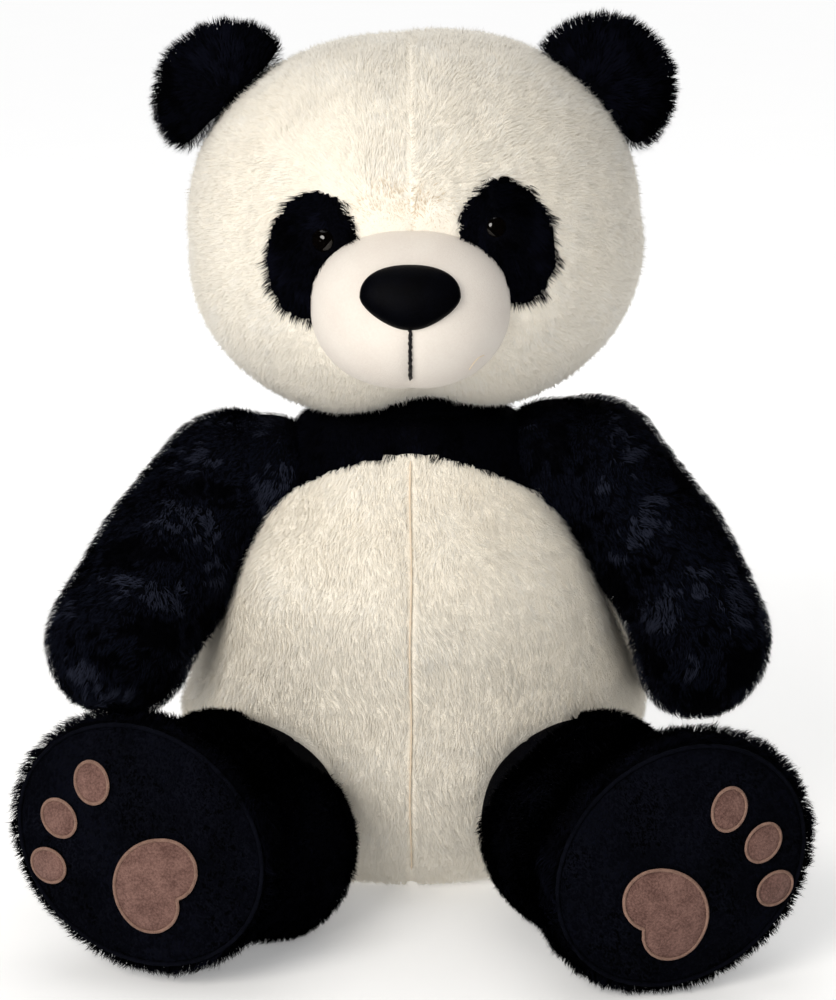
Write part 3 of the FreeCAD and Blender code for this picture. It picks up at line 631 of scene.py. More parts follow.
# no pile grows where the floor, the neck and the legs press on the cloth
shown = (spots[:, 2] > SEAT_BARE) & (np.hypot(spots[:, 0], spots[:, 1] - axis_y) > NECK_BARE)
for side in SIDES:
    shown &= np.linalg.norm(spots - hips[side], axis=1) > HIP_BALL + 3 * MM
spots, normals = spots[shown], normals[shown]
dark = dark_torso(spots + drift(spots, 0.012, 5) * 1.2 * MM)
front = spots[:, 1] < axis_y
comb = np.tile([0.0, 0.0, -1.0], (len(spots), 1))
comb[:, 0] += np.sign(spots[:, 0]) * gauss(spots[:, 0], 2.2 * MM) * (~dark) * 1.2
comb[:, 0] += 0.35 * waves(spots, 0.07, 21)
comb[:, 1] += 0.35 * waves(spots, 0.07, 22)
tufts = 1 - 0.75 * gauss(spots[:, 0], 1.6 * MM) * front
for name, pick, mats, slot, seed, options in (
    ("belly_pile", ~dark & front, ivory_pile, "ivory_plush", 31, {}),
    ("back_pile", ~dark & ~front, ivory_pile, "ivory_plush", 32, REAR_PILE),
    ("chest_pile", dark & front, jet_pile, "black_plush", 33, {}),
    ("back_yoke_pile", dark & ~front, jet_pile, "black_plush", 34, {}),
):
    pile(
        name, spots[pick], normals[pick], comb[pick], mats, "torso", slot, seed, spread=tufts[pick], **options
    )

# the tan seam down the belly, a line of small stitches that shows between the two combed halves
co, _ = mesh_arrays(torso_mesh)
belly_front = {}
for x, y, z in co[(np.abs(co[:, 0]) < 4 * MM) & (co[:, 1] < axis_y)]:
    level = round(z / (3 * MM))
    belly_front[level] = min(y, belly_front.get(level, 1.0))
levels = [level for level in sorted(belly_front) if 12 * MM < level * 3 * MM < ARCH_HEIGHT + ARCH_RADIUS]
path = np.array([(0.4 * MM * math.sin(level * 0.23), belly_front[level], level * 3 * MM) for level in levels])
path[1:-1, 1] = (path[:-2, 1] + path[1:-1, 1] + path[2:, 1]) / 3


def cord_mesh(name, path, radius, mat, lump):
    """A thin thread along a path, with the lumps of its stitches."""
    sides = 8
    path = np.asarray(path, float)
    ways = unit(np.gradient(path, axis=0))
    askew = np.array([0.31, 0.87, 0.37])
    first = unit(np.cross(ways, askew))
    second = np.cross(ways, first)
    verts, faces = [], []
    for i, (p, a, b) in enumerate(zip(path, first, second)):
        r = radius * (1 + lump * math.sin(i * 2.1))
        if i in (0, len(path) - 1):
            r *= 0.3
        for k in range(sides):
            angle = TAU * k / sides
            verts.append(p + a * r * math.cos(angle) + b * r * math.sin(angle))
    for i in range(len(path) - 1):
        for k in range(sides):
            n = (k + 1) % sides
            faces.append((i * sides + k, i * sides + n, (i + 1) * sides + n, (i + 1) * sides + k))
    faces.append(tuple(range(sides))[::-1])
    faces.append(tuple((len(path) - 1) * sides + k for k in range(sides)))
    return mesh_object(name, verts, faces, mat)


belly_seam = cord_mesh("belly_seam", path + [0, -0.9 * MM, 0], 0.5 * MM, seam_thread, lump=0.25)
place(belly_seam, "torso", "ivory_plush")

# ------------------------------ head

# from the head's middle to its crown, and how that compares with its half width
HEAD_RISE, HEAD_FLATNESS = 102 * MM, 102 / 124
head_low, head_high = box_of("head_filling")
head_mid = (head_low + head_high) / 2
head_mid[2] = head_high[2] - (head_high[0] - head_low[0]) / 2 * HEAD_FLATNESS
half = (head_high - head_low) / 2 + 3 * MM
half[2] = HEAD_RISE
eyes = {side: node_points(f"eye_{side}").mean(0) for side in SIDES}
ROLL = math.atan2(eyes["left"][2] - eyes["right"][2], eyes["left"][0] - eyes["right"][0])
CHIN_LIFT, PATCH_LEAN = 11 * MM, math.radians(14)


def head_shape(p):
    """The head's own lines: full cheeks and crown, a lifted chin, and all tipped sideways a little."""
    local = (p - head_mid) * [0.98, 1, 1] + [2 * MM, 0, 0]
    around = unit(local / half)
    low_side = clamp(-around[:, 2]) * np.abs(around[:, 0])
    grow = 1 + 0.13 * low_side * (1 - 0.4 * np.abs(around[:, 1]))
    grow += 0.10 * np.abs(around[:, 0]) * clamp(around[:, 2]) ** 1.5
    shaped = local * grow[:, None]
    chin = gauss(shaped[:, 0], 30 * MM) * clamp(-around[:, 2] * 1.6 - 0.4) * (around[:, 1] < 0.3)
    shaped[:, 2] += CHIN_LIFT * chin
    c, s = math.cos(ROLL), math.sin(ROLL)
    x, y, z = shaped.T
    return head_mid + np.stack([x * c - z * s, y, x * s + z * c], 1)


HEAD_NODES = [
    "face_panel_left", "face_panel_right", "eye_patch_left", "eye_patch_right", "head_back_panel_left",
    "head_back_panel_right", "head_filling",
]
head_mesh = cad_form("head_form", HEAD_NODES, 0.005, 6)
co, _ = mesh_arrays(head_mesh)
muzzle_low, muzzle_high = box_of("muzzle_cover")
muzzle_mid, muzzle_half = (muzzle_low + muzzle_high) / 2, (muzzle_high - muzzle_low) / 2
neck_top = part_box("neck_filling")[0].z
seams = np.maximum(gauss(co[:, 0], SEAM_WIDTH), gauss(co[:, 1] - head_mid[1], SEAM_WIDTH))
seams = np.maximum(seams, co[:, 2] < head_mid[2] - 88 * MM)
head_mesh = puff("head_puff", head_mesh, seams, 2.5 * MM)
co, _ = mesh_arrays(head_mesh)
set_points(head_mesh, head_shape(co))
swell(head_mesh, SKIN_LIFT)
head_mesh = refine("head_fine", head_mesh)


def patch_reach(p, side):
    """Under 1 inside an eye patch, seen from the front."""
    mid = sum(box_of(f"eye_patch_{side}")) / 2
    lean = ROLL + SIDES[side] * PATCH_LEAN
    x, z = p[:, 0] - mid[0], p[:, 2] - mid[2]
    along = z * math.cos(lean) - x * math.sin(lean)
    over = x * math.cos(lean) + z * math.sin(lean)
    wide, tall = 24.5 * MM, 34.5 * MM
    return np.where(p[:, 1] < head_mid[1], (over / wide) ** 2 + (along / tall) ** 2, 9.0)


def in_patch(p):
    return np.minimum(patch_reach(p, "left"), patch_reach(p, "right")) < 1


for side in SIDES:

    def is_face(p):
        return (p[:, 1] < head_mid[1]) & on_side(p, side) & ~in_patch(p)

    def is_patch(p):
        return patch_reach(p, side) < 1

    def is_rear(p):
        return (p[:, 1] >= head_mid[1]) & on_side(p, side)

    for name, node, keep, skin, slot, fill in (
        ("face_cover", "face_panel", is_face, ivory_skin, "ivory_plush", 0.8),
        ("eye_patch_cover", "eye_patch", is_patch, ink_skin, "black_plush", 0.7),
        ("head_back_cover", "head_back_panel", is_rear, ivory_skin, "ivory_plush", 0.8),
    ):
        panel = cover(f"{name}_{side}", head_mesh, keep, skin, "head", [f"{node}_{side}"], slot, fill)
    if side == "left":
        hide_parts("head_filling")

spots, normals = scatter(head_mesh, 1.0, 12)
inside_muzzle = (((spots - muzzle_mid) / muzzle_half) ** 2).sum(1) < 0.9
under = (spots[:, 2] < neck_top + 20 * MM) & (np.hypot(spots[:, 0], spots[:, 1] - axis_y) < 38 * MM)
shown = ~inside_muzzle & ~under
spots, normals = spots[shown], normals[shown]
fuzz = spots + drift(spots, 0.010, 51) * 1.6 * MM
dark = in_patch(fuzz)
front = spots[:, 1] < head_mid[1]
from_muzzle = spots - muzzle_mid
behind = clamp((spots[:, 1] - head_mid[1]) / (45 * MM))[:, None]
backwards = np.stack([0 * spots[:, 0], clamp(normals[:, 2]), -np.ones(len(spots))], 1)
comb = (unit(from_muzzle) + [0, 0.35, -0.75]) * (1 - behind) + backwards * behind
comb += 0.3 * drift(spots, 0.06, 61)
forehead = front & (spots[:, 2] > muzzle_high[2])
part = gauss(spots[:, 0], 2.0 * MM) * forehead
comb[:, 0] += np.sign(spots[:, 0]) * part * 0.9
tufts = 1 - 0.35 * part
near_muzzle = np.linalg.norm((spots - muzzle_mid) / muzzle_half, axis=1)
tufts *= np.clip(0.2 + (near_muzzle - 0.95) * 1.3, 0.2, 1)
bridge = gauss(spots[:, 0] + 5 * MM, 28 * MM) * gauss(spots[:, 2] - muzzle_high[2] - 8 * MM, 16 * MM) * front
tan = (~dark) & (bridge > np.random.default_rng(7).uniform(0.3, 0.95, len(spots)))
for name, pick, mats, seed, options in (
    ("face_pile", front & ~dark & ~tan, ivory_pile, 71, {}),
    ("bridge_pile", tan, tan_pile, 72, {"length": 5.0}),
    ("head_back_pile", ~front, ivory_pile, 73, REAR_PILE),
):
    pile(
        name, spots[pick], normals[pick], comb[pick], mats, "head", "ivory_plush", seed,
        spread=tufts[pick], **options,
    )
for side, sign in SIDES.items():
    pick = dark & (spots[:, 0] * sign > 0)
    eye = eyes[side]
    away = spots[pick] - eye
    clear = np.clip((np.hypot(away[:, 0], away[:, 2]) - 3 * MM) / (8 * MM), 0.15, 1)
    pile(
        f"eye_patch_pile_{side}", spots[pick], normals[pick], 0.5 * unit(away) + [0, 0.2, -0.6], jet_pile,
        "head", "black_plush", 80 + sign, length=6.5, spread=clear, lean=0.85,
    )

# ------------------------------ muzzle, nose and mouth


def dome(name, centre, radii, rings, segments, shape, mat):
    """A closed rounded form: an ellipsoid whose directions pass through shape()."""
    theta = np.linspace(0, math.pi, rings)
    phi = np.linspace(0, TAU, segments, endpoint=False)
    t, f = np.meshgrid(theta, phi, indexing="ij")
    ways = np.stack([np.sin(t) * np.cos(f), -np.cos(t), np.sin(t) * np.sin(f)], -1).reshape(-1, 3)
    verts = np.asarray(centre) + shape(ways) * radii
    faces = []
    for i in range(rings - 1):
        for k in range(segments):
            n = (k + 1) % segments
            a, b, c, d = i * segments + k, i * segments + n, (i + 1) * segments + n, (i + 1) * segments + k
            if i == 0:
                faces.append((a, c, d))
            elif i == rings - 2:
                faces.append((a, b, c))
            else:
                faces.append((a, b, c, d))
    obj = mesh_object(name, verts, faces, mat)
    join_points(obj.data)
    return obj


MUZZLE_DEPTH = 59 * MM
muzzle_centre = np.array([muzzle_mid[0], muzzle_low[1] + MUZZLE_DEPTH, muzzle_mid[2]])
muzzle_radii = np.array([muzzle_half[0], MUZZLE_DEPTH, muzzle_half[2]])


def muzzle_shape(ways):
    """Fuller below the nose, with a soft cleft where the mouth pulls the two cheeks apart."""
    below, ahead = clamp(-ways[:, 2]), clamp(-ways[:, 1])
    aside, above = np.abs(ways[:, 0]), clamp(ways[:, 2])
    grow = 1 + 0.05 * below * clamp(aside * 1.6) + 0.09 * aside * above
    cleft = gauss(ways[:, 0], 0.09) * below * ahead
    return ways * (grow - 0.06 * cleft)[:, None]


muzzle = dome("muzzle_cover_soft", muzzle_centre, muzzle_radii, 80, 120, muzzle_shape, muzzle_cloth)
place(muzzle, "head", "cream_velour", "muzzle_cover", "muzzle_filling", fill=0.85)
nose_low, nose_high = box_of("nose")
nose_mid = (nose_low + nose_high) / 2
nose_radii = np.array([(nose_high[0] - nose_low[0]) / 2, 10 * MM, 17 * MM])


def nose_shape(ways):
    """A broad oval with square shoulders that narrows a little towards the mouth."""
    squared = np.sign(ways) * np.abs(ways) ** np.array([0.88, 1.0, 0.85])
    squared[:, 0] *= 1 - 0.40 * clamp(-ways[:, 2]) ** 1.15
    return squared


tilt = math.radians(20)
nose = dome("nose_cover", (0, 0, 0), nose_radii, 48, 72, nose_shape, nose_cloth)
co, _ = mesh_arrays(nose.data)
y, z = co[:, 1].copy(), co[:, 2].copy()
co[:, 1] = y * math.cos(tilt) + z * math.sin(tilt)
co[:, 2] = -y * math.sin(tilt) + z * math.cos(tilt)
co += nose_mid
co[:, 1] += nose_low[1] - co[:, 1].min()
set_points(nose.data, co)
place(nose, "head", "nose_satin", "nose", fill=0.9)

mouth_low, mouth_high = box_of("mouth_stitching")


def on_muzzle(x, z, lift=0.0):
    """The muzzle's front face at a place seen from the front."""
    way = np.array([(x - muzzle_centre[0]) / muzzle_radii[0], 0, (z - muzzle_centre[2]) / muzzle_radii[2]])
    way[1] = -math.sqrt(max(1e-4, 1 - way[0] ** 2 - way[2] ** 2))
    point = muzzle_centre + muzzle_shape(way[None])[0] * muzzle_radii
    return point + unit(way / muzzle_radii) * lift


stitches = []
top, bottom = mouth_high[2] + 3 * MM, mouth_low[2]
steps = 42
for i in range(steps + 1):
    z = top + (bottom - top) * i / steps
    stitches.append(on_muzzle(0.2 * MM * math.sin(i * 1.3), z, 0.75 * MM + 0.35 * MM * math.sin(i * 1.05)))
mouth = cord_mesh("mouth_thread_line", stitches, 0.95 * MM, mouth_thread, lump=0.22)
place(mouth, "head", "black_thread", "mouth_stitching")

corner = []
for t in np.linspace(0, 1, 14):
    x = muzzle_centre[0] + muzzle_radii[0] * (0.56 + 0.15 * t)
    z = muzzle_centre[2] - muzzle_radii[2] * (0.66 - 0.17 * t - 0.05 * math.sin(math.pi * t))
    corner.append(on_muzzle(x, z, 0.1 * MM))
smile = cord_mesh("mouth_corner_thread", corner, 0.3 * MM, seam_thread, lump=0.3)
place(smile, "head", "black_thread")

# ------------------------------ ears

EAR_TUCK = {"left": 0.0, "right": 0.15}

for side, sign in SIDES.items():
    nodes = [f"ear_front_panel_{side}", f"ear_back_panel_{side}", f"ear_filling_{side}"]
    ear_mesh = refine("ear", cad_form("ear_form", nodes, 0.0035, 4))
    hinge = pivot(f"ear_fold_{side}")
    co, _ = mesh_arrays(ear_mesh)
    ear_out = unit(co.mean(0) - hinge)
    set_points(ear_mesh, co - ear_out * ((co - hinge) @ ear_out)[:, None] * EAR_TUCK[side])
    body = f"ear_{side}"
    two_panels(ear_mesh, lambda p: p[:, 1] < hinge[1], body, nodes, 0.4)
    spots, normals = scatter(ear_mesh, 1.25, 14 + sign)
    comb = unit(spots - hinge) + [0, 0, -0.15]
    pile(
        f"ear_pile_{side}", spots, normals, comb, jet_pile, body, "black_plush", 101 + sign,
        length=8.0, width=0.4, lean=0.75, gather=0.25, **SHAGGY,
    )

# ------------------------------ arms

# the left arm is bent outward at the elbow and drawn thinner there, the right one hangs almost straight
ARM_BOW = {"left": 9 * MM, "right": 2 * MM}
ARM_THIN = {"left": 0.08, "right": 0.0}
for side, sign in SIDES.items():
    nodes = [f"arm_front_panel_{side}", f"arm_back_panel_{side}", f"arm_filling_{side}"]
    body = f"arm_{side}"
    root = shoulders[side]
    arm_mesh = cad_form("arm_form", nodes, 0.005, 5)
    co, _ = mesh_arrays(arm_mesh)
    far = co[np.argmax(np.linalg.norm(co - root, axis=1))]
    along = unit(far - root)
    reach = np.linalg.norm(far - root)
    bow = unit(np.array([sign, 0, 0]) - along * along[0] * sign)
    front_way = np.cross(along, bow)
    seams = gauss((co - root) @ front_way, SEAM_WIDTH)
    arm_mesh = puff("arm_puff", arm_mesh, seams, 3 * MM)
    co, _ = mesh_arrays(arm_mesh)
    s = clamp(((co - root) @ along) / reach)
    elbow = (4 * s * (1 - s)) ** 2
    co += bow * (ARM_BOW[side] * elbow - ARM_THIN[side] * elbow * ((co - root) @ bow))[:, None]
    set_points(arm_mesh, co)
    shoulder_top = clamp(1 - s / 0.35) * clamp(normals_of(arm_mesh) @ unit([sign, 0, 0.6]))
    swell(arm_mesh, 1 * MM - 6 * MM * shoulder_top + 3 * MM * clamp((s - 0.6) / 0.3))
    arm_mesh = refine("arm", arm_mesh)
    two_panels(arm_mesh, lambda p: ((p - root) @ front_way) * np.sign(front_way[1]) < 0, body, nodes, 0.7)
    spots, normals = scatter(arm_mesh, 0.95, 16 + sign)
    comb = np.tile(along, (len(spots), 1)) + [0, 0, -0.4]
    comb += 0.4 * drift(spots, 0.05, 111)
    pile(
        f"arm_pile_{side}", spots, normals, comb, ink_pile, body, "black_plush", 121 + sign,
        length=6.5, width=0.42, lean=0.9, unruly=0.3, gather=0.2, **SHAGGY,
    )

    # the yoke's cloth gathers over the shoulder
    gather_mid = np.array([root[0] - sign * 24 * MM, root[1], root[2] + 1 * MM])
    gather_size = np.array([34, 38, 38]) * MM
    gathered = dome(
        f"shoulder_gather_{side}", gather_mid, gather_size, 30, 44,
        lambda ways: np.sign(ways) * np.abs(ways) ** np.array([0.9, 1.0, 0.85]), ink_skin,
    )
    spots, normals = scatter(gathered.data, 0.95, 40 + sign)
    comb = np.tile([sign * 0.5, -0.1, -0.8], (len(spots), 1))
    tufted = pile(f"shoulder_pile_{side}", spots, normals, comb, ink_pile, None, "black_plush", 171 + sign)
    for piece in (gathered, tufted):
        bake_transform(piece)

# ------------------------------ legs, soles and paw pads


def plane_of(points):
    """The middle of a flat cloud of points and its axes: longest, middle, shortest."""
    mid = points.mean(0)
    _, vectors = np.linalg.eigh(np.cov((points - mid).T))
    return mid, vectors[:, 2], vectors[:, 1], vectors[:, 0]


def outline_of(points, mid, a, b, bins):
    """How far a flat shape reaches from its middle, all round."""
    x, y = (points - mid) @ a, (points - mid) @ b
    angle = np.arctan2(y, x)
    radius = np.hypot(x, y)
    index = np.floor((angle + math.pi) / TAU * bins).astype(int) % bins
    reach = np.zeros(bins)
    np.maximum.at(reach, index, radius)
    empty = reach == 0
    places = np.arange(bins)
    if empty.any():
        reach[empty] = np.interp(places[empty], places[~empty], reach[~empty], period=bins)
    return reach


PAD_RINGS, WELT_OUT = 12, 0.8 * MM
STITCH_PITCH, STITCH_HALF = 0.62 * MM, 0.36 * MM
THIGH_FILL = {"left": 5 * MM, "right": 28 * MM}
THIGH_THIN = {"left": 0.0, "right": 9 * MM}
for side, sign in SIDES.items():
    nodes = [f"leg_top_panel_{side}", f"leg_under_panel_{side}", f"leg_filling_{side}"]
    body = f"leg_{side}"
    hip = hips[side]
    sole_points = node_points(f"foot_sole_{side}")
    flat_mid, long_way, wide_way, out_way = plane_of(sole_points)
    if (flat_mid - hip) @ out_way < 0:
        out_way = -out_way
    wide_way = np.cross(out_way, long_way)
    base = ((sole_points - flat_mid) @ out_way).min()
    crown = ((sole_points - flat_mid) @ out_way).max()
    rim = sole_points[(sole_points - flat_mid) @ out_way < base + 1.0 * MM]
    mid = rim.mean(0)
    half_long = np.abs((rim - mid) @ long_way).max()
    half_wide = np.abs((rim - mid) @ wide_way).max()
    bulge = crown - base

    leg_mesh = cad_form("leg_form", nodes, 0.005, 5)
    co, _ = mesh_arrays(leg_mesh)
    seams = gauss((co - hip) @ long_way, SEAM_WIDTH)
    seams = np.maximum(seams, (co - mid) @ out_way > -4 * MM)
    leg_mesh = puff("leg_puff", leg_mesh, seams, 3 * MM)
    keep_off_floor(leg_mesh, 1 * MM)
    co, _ = mesh_arrays(leg_mesh)
    # the thigh is packed fuller at the top beside the belly, and low on its inner side
    way = unit(mid - hip)
    s = (co - hip) @ way
    inner = -sign * (normals_of(leg_mesh)[:, 0])
    rising = clamp(normals_of(leg_mesh)[:, 2])
    haunch = gauss(s - 8 * MM, 30 * MM) * rising * (7 * MM - 17 * MM * clamp(inner + 0.35))
    low = clamp(1 - co[:, 2] / (90 * MM)) ** 0.5
    inner_fill = gauss(s - 22 * MM, 28 * MM) * THIGH_FILL[side]
    inner_fill -= gauss(s - 78 * MM, 26 * MM) * THIGH_THIN[side]
    low_inner = clamp(inner) * low * inner_fill
    near_rim = clamp(-((co - mid) @ out_way) / (12 * MM))
    swell(leg_mesh, (haunch + low_inner + 2 * MM) * near_rim)
    keep_off_floor(leg_mesh, 1 * MM)
    leg_mesh = refine("leg", leg_mesh)
    two_panels(leg_mesh, lambda p: ((p - hip) @ long_way) * np.sign(long_way[2]) > 0, body, nodes, 0.7)
    spots, normals = scatter(leg_mesh, 0.95, 18 + sign)
    ahead = (spots - mid) @ out_way
    hidden = (np.linalg.norm(spots - hip, axis=1) < HIP_BALL) & ((spots - hip) @ way < 2 * MM)
    facing = (normals @ out_way > 0.8) & (ahead > -3 * MM)
    shown = ~hidden & ~facing
    spots, normals, ahead = spots[shown], normals[shown], ahead[shown]
    fringe = gauss(np.minimum(ahead + 8 * MM, 0), 16 * MM)
    comb = way + 0.9 * fringe[:, None] * unit(spots - mid) + [0, 0, -0.25]
    comb += 0.4 * drift(spots, 0.05, 131)
    pile(
        f"leg_pile_{side}", spots, normals, comb, jet_pile, body, "black_plush", 141 + sign,
        length=6.0, width=0.42, lean=0.9, unruly=0.25, gather=0.15, spread=1 + 0.35 * fringe, **SHAGGY,
    )

    def sole_height(x, y):
        """The taut sole's rise above its rim: flat in the middle, turned down steeply at the seam."""
        r = clamp(np.sqrt((x / half_long) ** 2 + (y / half_wide) ** 2))
        return bulge * (1 - r**2) * 0.86 + bulge * 0.14 * (1 - r**6)

    def on_foot(x, y, rise):
        """A point from its place in the rim's plane and its rise above it."""
        return mid + long_way * x + wide_way * y + out_way * rise

    rings, segments = 46, 144
    verts = []
    for i in range(rings + 1):
        r = (i / rings) ** 0.8
        for k in range(segments):
            angle = TAU * k / segments
            x, y = half_long * r * math.cos(angle), half_wide * r * math.sin(angle)
            pucker = 0.35 * MM * math.sin(segments * 0.25 * angle) * max(0, r - 0.86) / 0.14
            rise = sole_height(x, y) + pucker - 0.6 * MM * (r == 1)
            verts.append(on_foot(x, y, rise))
    sole = mesh_object(f"sole_cover_{side}", verts, disc_faces(rings, segments), sole_cloth)
    join_points(sole.data, out_way)
    place(sole, body, "sole_velboa", f"foot_sole_{side}", fill=0.8)
    rim_path = []
    for k in range(segments + 1):
        angle = TAU * k / segments
        x, y = (half_long + WELT_OUT) * math.cos(angle), (half_wide + WELT_OUT) * math.sin(angle)
        rim_path.append(on_foot(x, y, 0.4 * MM))
    place(cord_mesh(f"sole_welt_{side}", rim_path, 1.1 * MM, sole_cloth, lump=0.12), body, "sole_velboa")
    spots, normals = scatter(sole.data, 1.7, 20 + sign)
    comb = np.tile([0.1 * sign, -0.2, -1.0], (len(spots), 1))
    pile(
        f"sole_nap_{side}", spots, normals, comb, jet_pile, body, "sole_velboa", 151 + sign,
        length=1.7, width=0.5, lean=0.8, clump=3, gather=0.25, unruly=0.3,
    )

    thread_verts, thread_faces = [], []
    for pad in ("heel_pad", "toe_pad_inner", "toe_pad_middle", "toe_pad_outer"):
        points = node_points(f"{pad}_{side}")
        centre = points.mean(0)
        bins = 120 if pad == "heel_pad" else 72
        reach = outline_of(points, centre, long_way, wide_way, bins)
        reach = (np.roll(reach, 1) + 2 * reach + np.roll(reach, -1)) / 4
        shift = np.array([(centre - mid) @ long_way, (centre - mid) @ wide_way])
        angles = TAU * (np.arange(bins) + 0.5) / bins - math.pi
        edge = np.stack([reach * np.cos(angles), reach * np.sin(angles)], 1)
        verts = []
        for i in range(PAD_RINGS + 1):
            share = i / PAD_RINGS
            for x, y in shift + edge * share:
                rise = sole_height(x, y) + 1.5 * MM + 0.9 * MM * (1 - share**4)
                verts.append(on_foot(x, y, rise))
        patch = mesh_object(f"{pad}_cloth_{side}", verts, disc_faces(PAD_RINGS, bins), pad_cloth)
        join_points(patch.data, out_way)
        place(patch, body, "mauve_velour", f"{pad}_{side}")
        # satin stitches, side by side across the pad's edge
        ring = shift + np.append(edge, edge[:1], axis=0)
        steps = np.concatenate([[0], np.cumsum(np.linalg.norm(np.diff(ring, axis=0), axis=1))])

        def on_ring(at):
            return np.array([np.interp(at % steps[-1], steps, ring[:, k]) for k in (0, 1)])

        count = int(steps[-1] / STITCH_PITCH)
        for j in range(count):
            at = steps[-1] * j / count
            here = on_ring(at)
            along = unit(on_ring(at + 1 * MM) - here)
            over = np.array([along[1], -along[0]])
            if over @ (here - shift) < 0:
                over = -over
            first = len(thread_verts)
            for t in np.linspace(-1, 1, 5):
                x, y = here + over * (t * 0.85 + 0.35) * MM
                arch = 1.9 * MM + 0.9 * MM * (1 - t * t)
                spot = on_foot(x, y, sole_height(x, y) + arch)
                side_way = long_way * along[0] + wide_way * along[1]
                aside, out = side_way * STITCH_HALF, out_way * STITCH_HALF
                thread_verts += [spot - aside - out, spot + out * 0.4, spot + aside - out]
            for i in range(4):
                a = first + i * 3
                thread_faces += [(a, a + 3, a + 4, a + 1), (a + 1, a + 4, a + 5, a + 2)]
    borders = mesh_object(f"pad_borders_{side}", thread_verts, thread_faces, border_thread)
    place(borders, body, "mauve_thread", f"pad_stitching_{side}")

# ------------------------------ tail, label and neck


def everywhere(p):
    return np.ones(len(p), bool)


tail_nodes = ["tail_cover", "tail_filling"]
tail_mesh = refine("tail", cad_form("tail_form", tail_nodes, 0.004, 4))
cover("tail_cover_soft", tail_mesh, everywhere, ivory_skin, "torso", tail_nodes, "ivory_plush", 0.6)
spots, normals = scatter(tail_mesh, 1.0, 22)
tail_mid = spots.mean(0)
comb = unit(spots - tail_mid) + [0, 0.3, -0.7]
pile("tail_pile", spots, normals, comb, ivory_pile, "torso", "ivory_plush", 161, length=7.5)

label_low, label_high = box_of("care_label")
label_width, label_length = label_high[2] - label_low[2], label_high[1] - label_low[1]
verts, faces = [], []
columns, rows = 18, 10
for i in range(columns + 1):
    for k in range(rows + 1):
        u, v = i / columns, k / rows
        x = 0.8 * MM * math.sin(u * 4.4 + v * 1.1) * u
        verts.append((x, label_low[1] + label_length * u, label_low[2] + label_width * v))
for i in range(columns):
    for k in range(rows):
        a = i * (rows + 1) + k
        faces.append((a, a + rows + 1, a + rows + 2, a + 1))
label = mesh_object("care_label_cloth", verts, faces, label_cloth)
place(label, "torso", "label_ribbon", "care_label")

# the neck's packed filling is inside, and is seen only as dark cloth if the head tips
neck_mesh = refine("neck", cad_form("neck_form", ["neck_filling"], 0.004, 3))
cover("neck_cover", neck_mesh, everywhere, ink_skin, "neck", ["neck_filling"], "polyester_filling", 0.9)

# ------------------------------ inner pieces, stage, light and camera

for side in SIDES:
    for node, mat in ((f"eye_{side}", eye_gloss), (f"eye_washer_{side}", washer_nylon)):
        NODES[node].data.materials.clear()
        NODES[node].data.materials.append(mat)

paper = cloth(
    "floor_paper", (0.96, 0.96, 0.96), 0.95, (0.95, 0.95, 0.95), (0.97, 0.97, 0.97), 4, 60,
    Specular_IOR_Level=0.05, Emission_Color=(1, 1, 1, 1),
)
# the floor paper glows, a painted light: its glow grows from 0.26 within a metre of the middle to 0.62 beyond
# three metres, so the far floor stays white, and it also lights the panda from below
tree = paper.node_tree
away = tree.nodes.new("ShaderNodeVectorMath")
away.operation = "LENGTH"
tree.links.new(coordinates(paper), away.inputs[0])
glow = tree.nodes.new("ShaderNodeMapRange")
for socket, value in (("From Min", 1.0), ("From Max", 3.0), ("To Min", 0.26), ("To Max", 0.62)):
    glow.inputs[socket].default_value = value
tree.links.new(away.outputs["Value"], glow.inputs["Value"])
tree.links.new(glow.outputs["Result"], tree.nodes["Principled BSDF"].inputs["Emission Strength"])
FLOOR_HALF, BACKDROP_RADIUS = 36, 38
corners = [(x * FLOOR_HALF, y * FLOOR_HALF, 0) for x, y in ((-1, -1), (1, -1), (1, 1), (-1, 1))]
floor = mesh_object("floor", corners, [(0, 1, 2, 3)], paper)
floor.visible_glossy = False
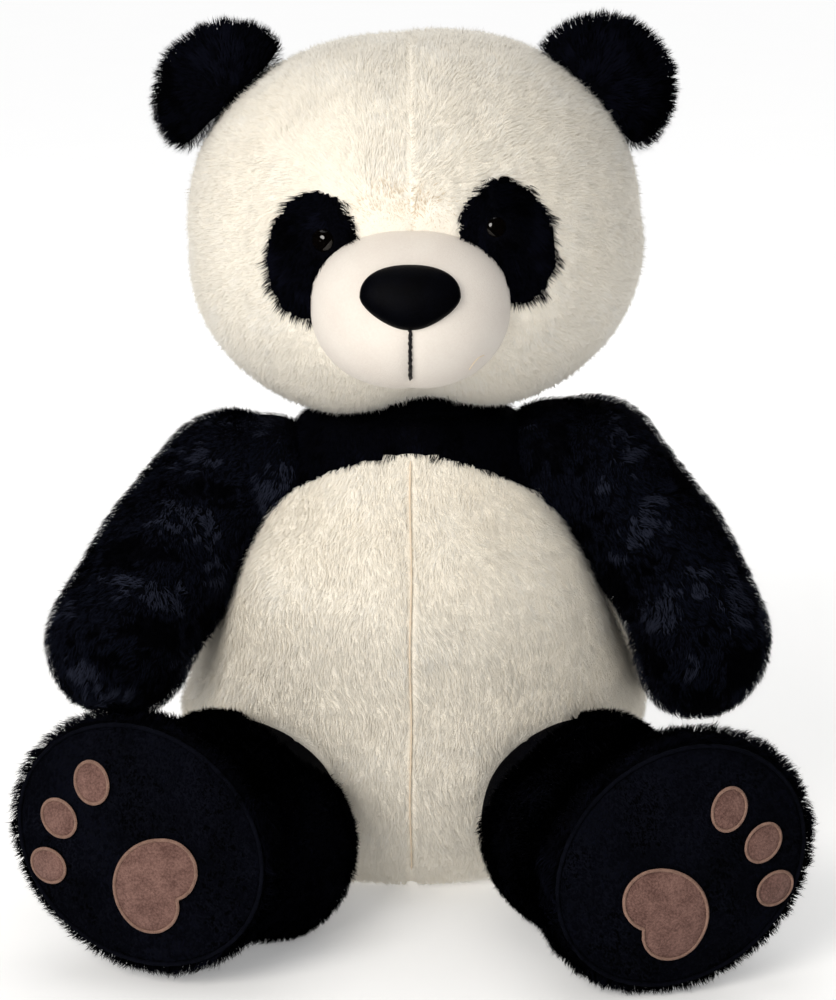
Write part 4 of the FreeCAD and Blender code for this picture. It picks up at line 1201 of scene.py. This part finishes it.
floor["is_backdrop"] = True
white = cloth(
    "backdrop_paper", (0.9, 0.9, 0.9), 1.0, (0.9, 0.9, 0.9), (0.92, 0.92, 0.92), 1, 8,
    Emission_Color=(1, 1, 1, 1), Emission_Strength=0.5,
)
backdrop = dome("backdrop", (0, 0, 0), BACKDROP_RADIUS, 24, 48, lambda ways: ways, white)
for ray in ("diffuse", "glossy", "transmission", "shadow"):
    setattr(backdrop, f"visible_{ray}", False)
backdrop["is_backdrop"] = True


def area_light(name, where, aim, size, power, color=(1, 1, 1)):
    data = bpy.data.lights.new(name, "AREA")
    data.shape = "DISK"
    data.size = size
    data.energy = power
    data.color = color
    lamp = link(bpy.data.objects.new(name, data))
    lamp.location = where
    lamp.rotation_euler = (aim - Vector(where)).to_track_quat("-Z", "Y").to_euler()


centre = Vector((0, axis_y, 0.24))
area_light("key_light", (-1.05, -2.05, 1.25), centre, 1.3, 42, (1.0, 0.965, 0.91))
area_light("back_light", (0.7, 2.0, 1.3), centre, 1.6, 14, (1.0, 0.98, 0.95))
area_light("top_light", (-0.2, 0.3, 2.2), centre, 1.8, 9)

scene = bpy.context.scene
world = bpy.data.worlds.new("studio")
scene.world = world
world.use_nodes = True
background = world.node_tree.nodes["Background"].inputs
background["Color"].default_value = (1, 1, 1, 1)
background["Strength"].default_value = 0.38
world.cycles_visibility.glossy = False
scene.view_settings.view_transform = "Standard"

# the camera looks 12 degrees down on a point on the body's axis, from 1.7 m away
ELEVATION, DISTANCE = math.radians(12), 1.7
SENSOR_WIDTH, LENS = 36, 128.4115
target = Vector((0.004, axis_y, 0.208))
camera_data = bpy.data.cameras.new("camera")
camera_data.sensor_fit = "HORIZONTAL"
camera_data.sensor_width = SENSOR_WIDTH
camera_data.lens = LENS
camera = link(bpy.data.objects.new("camera", camera_data))
camera.location = target + Vector((0, -math.cos(ELEVATION), math.sin(ELEVATION))) * DISTANCE
camera.rotation_euler = (math.pi / 2 - ELEVATION, 0, 0)
scene.camera = camera

low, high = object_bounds()
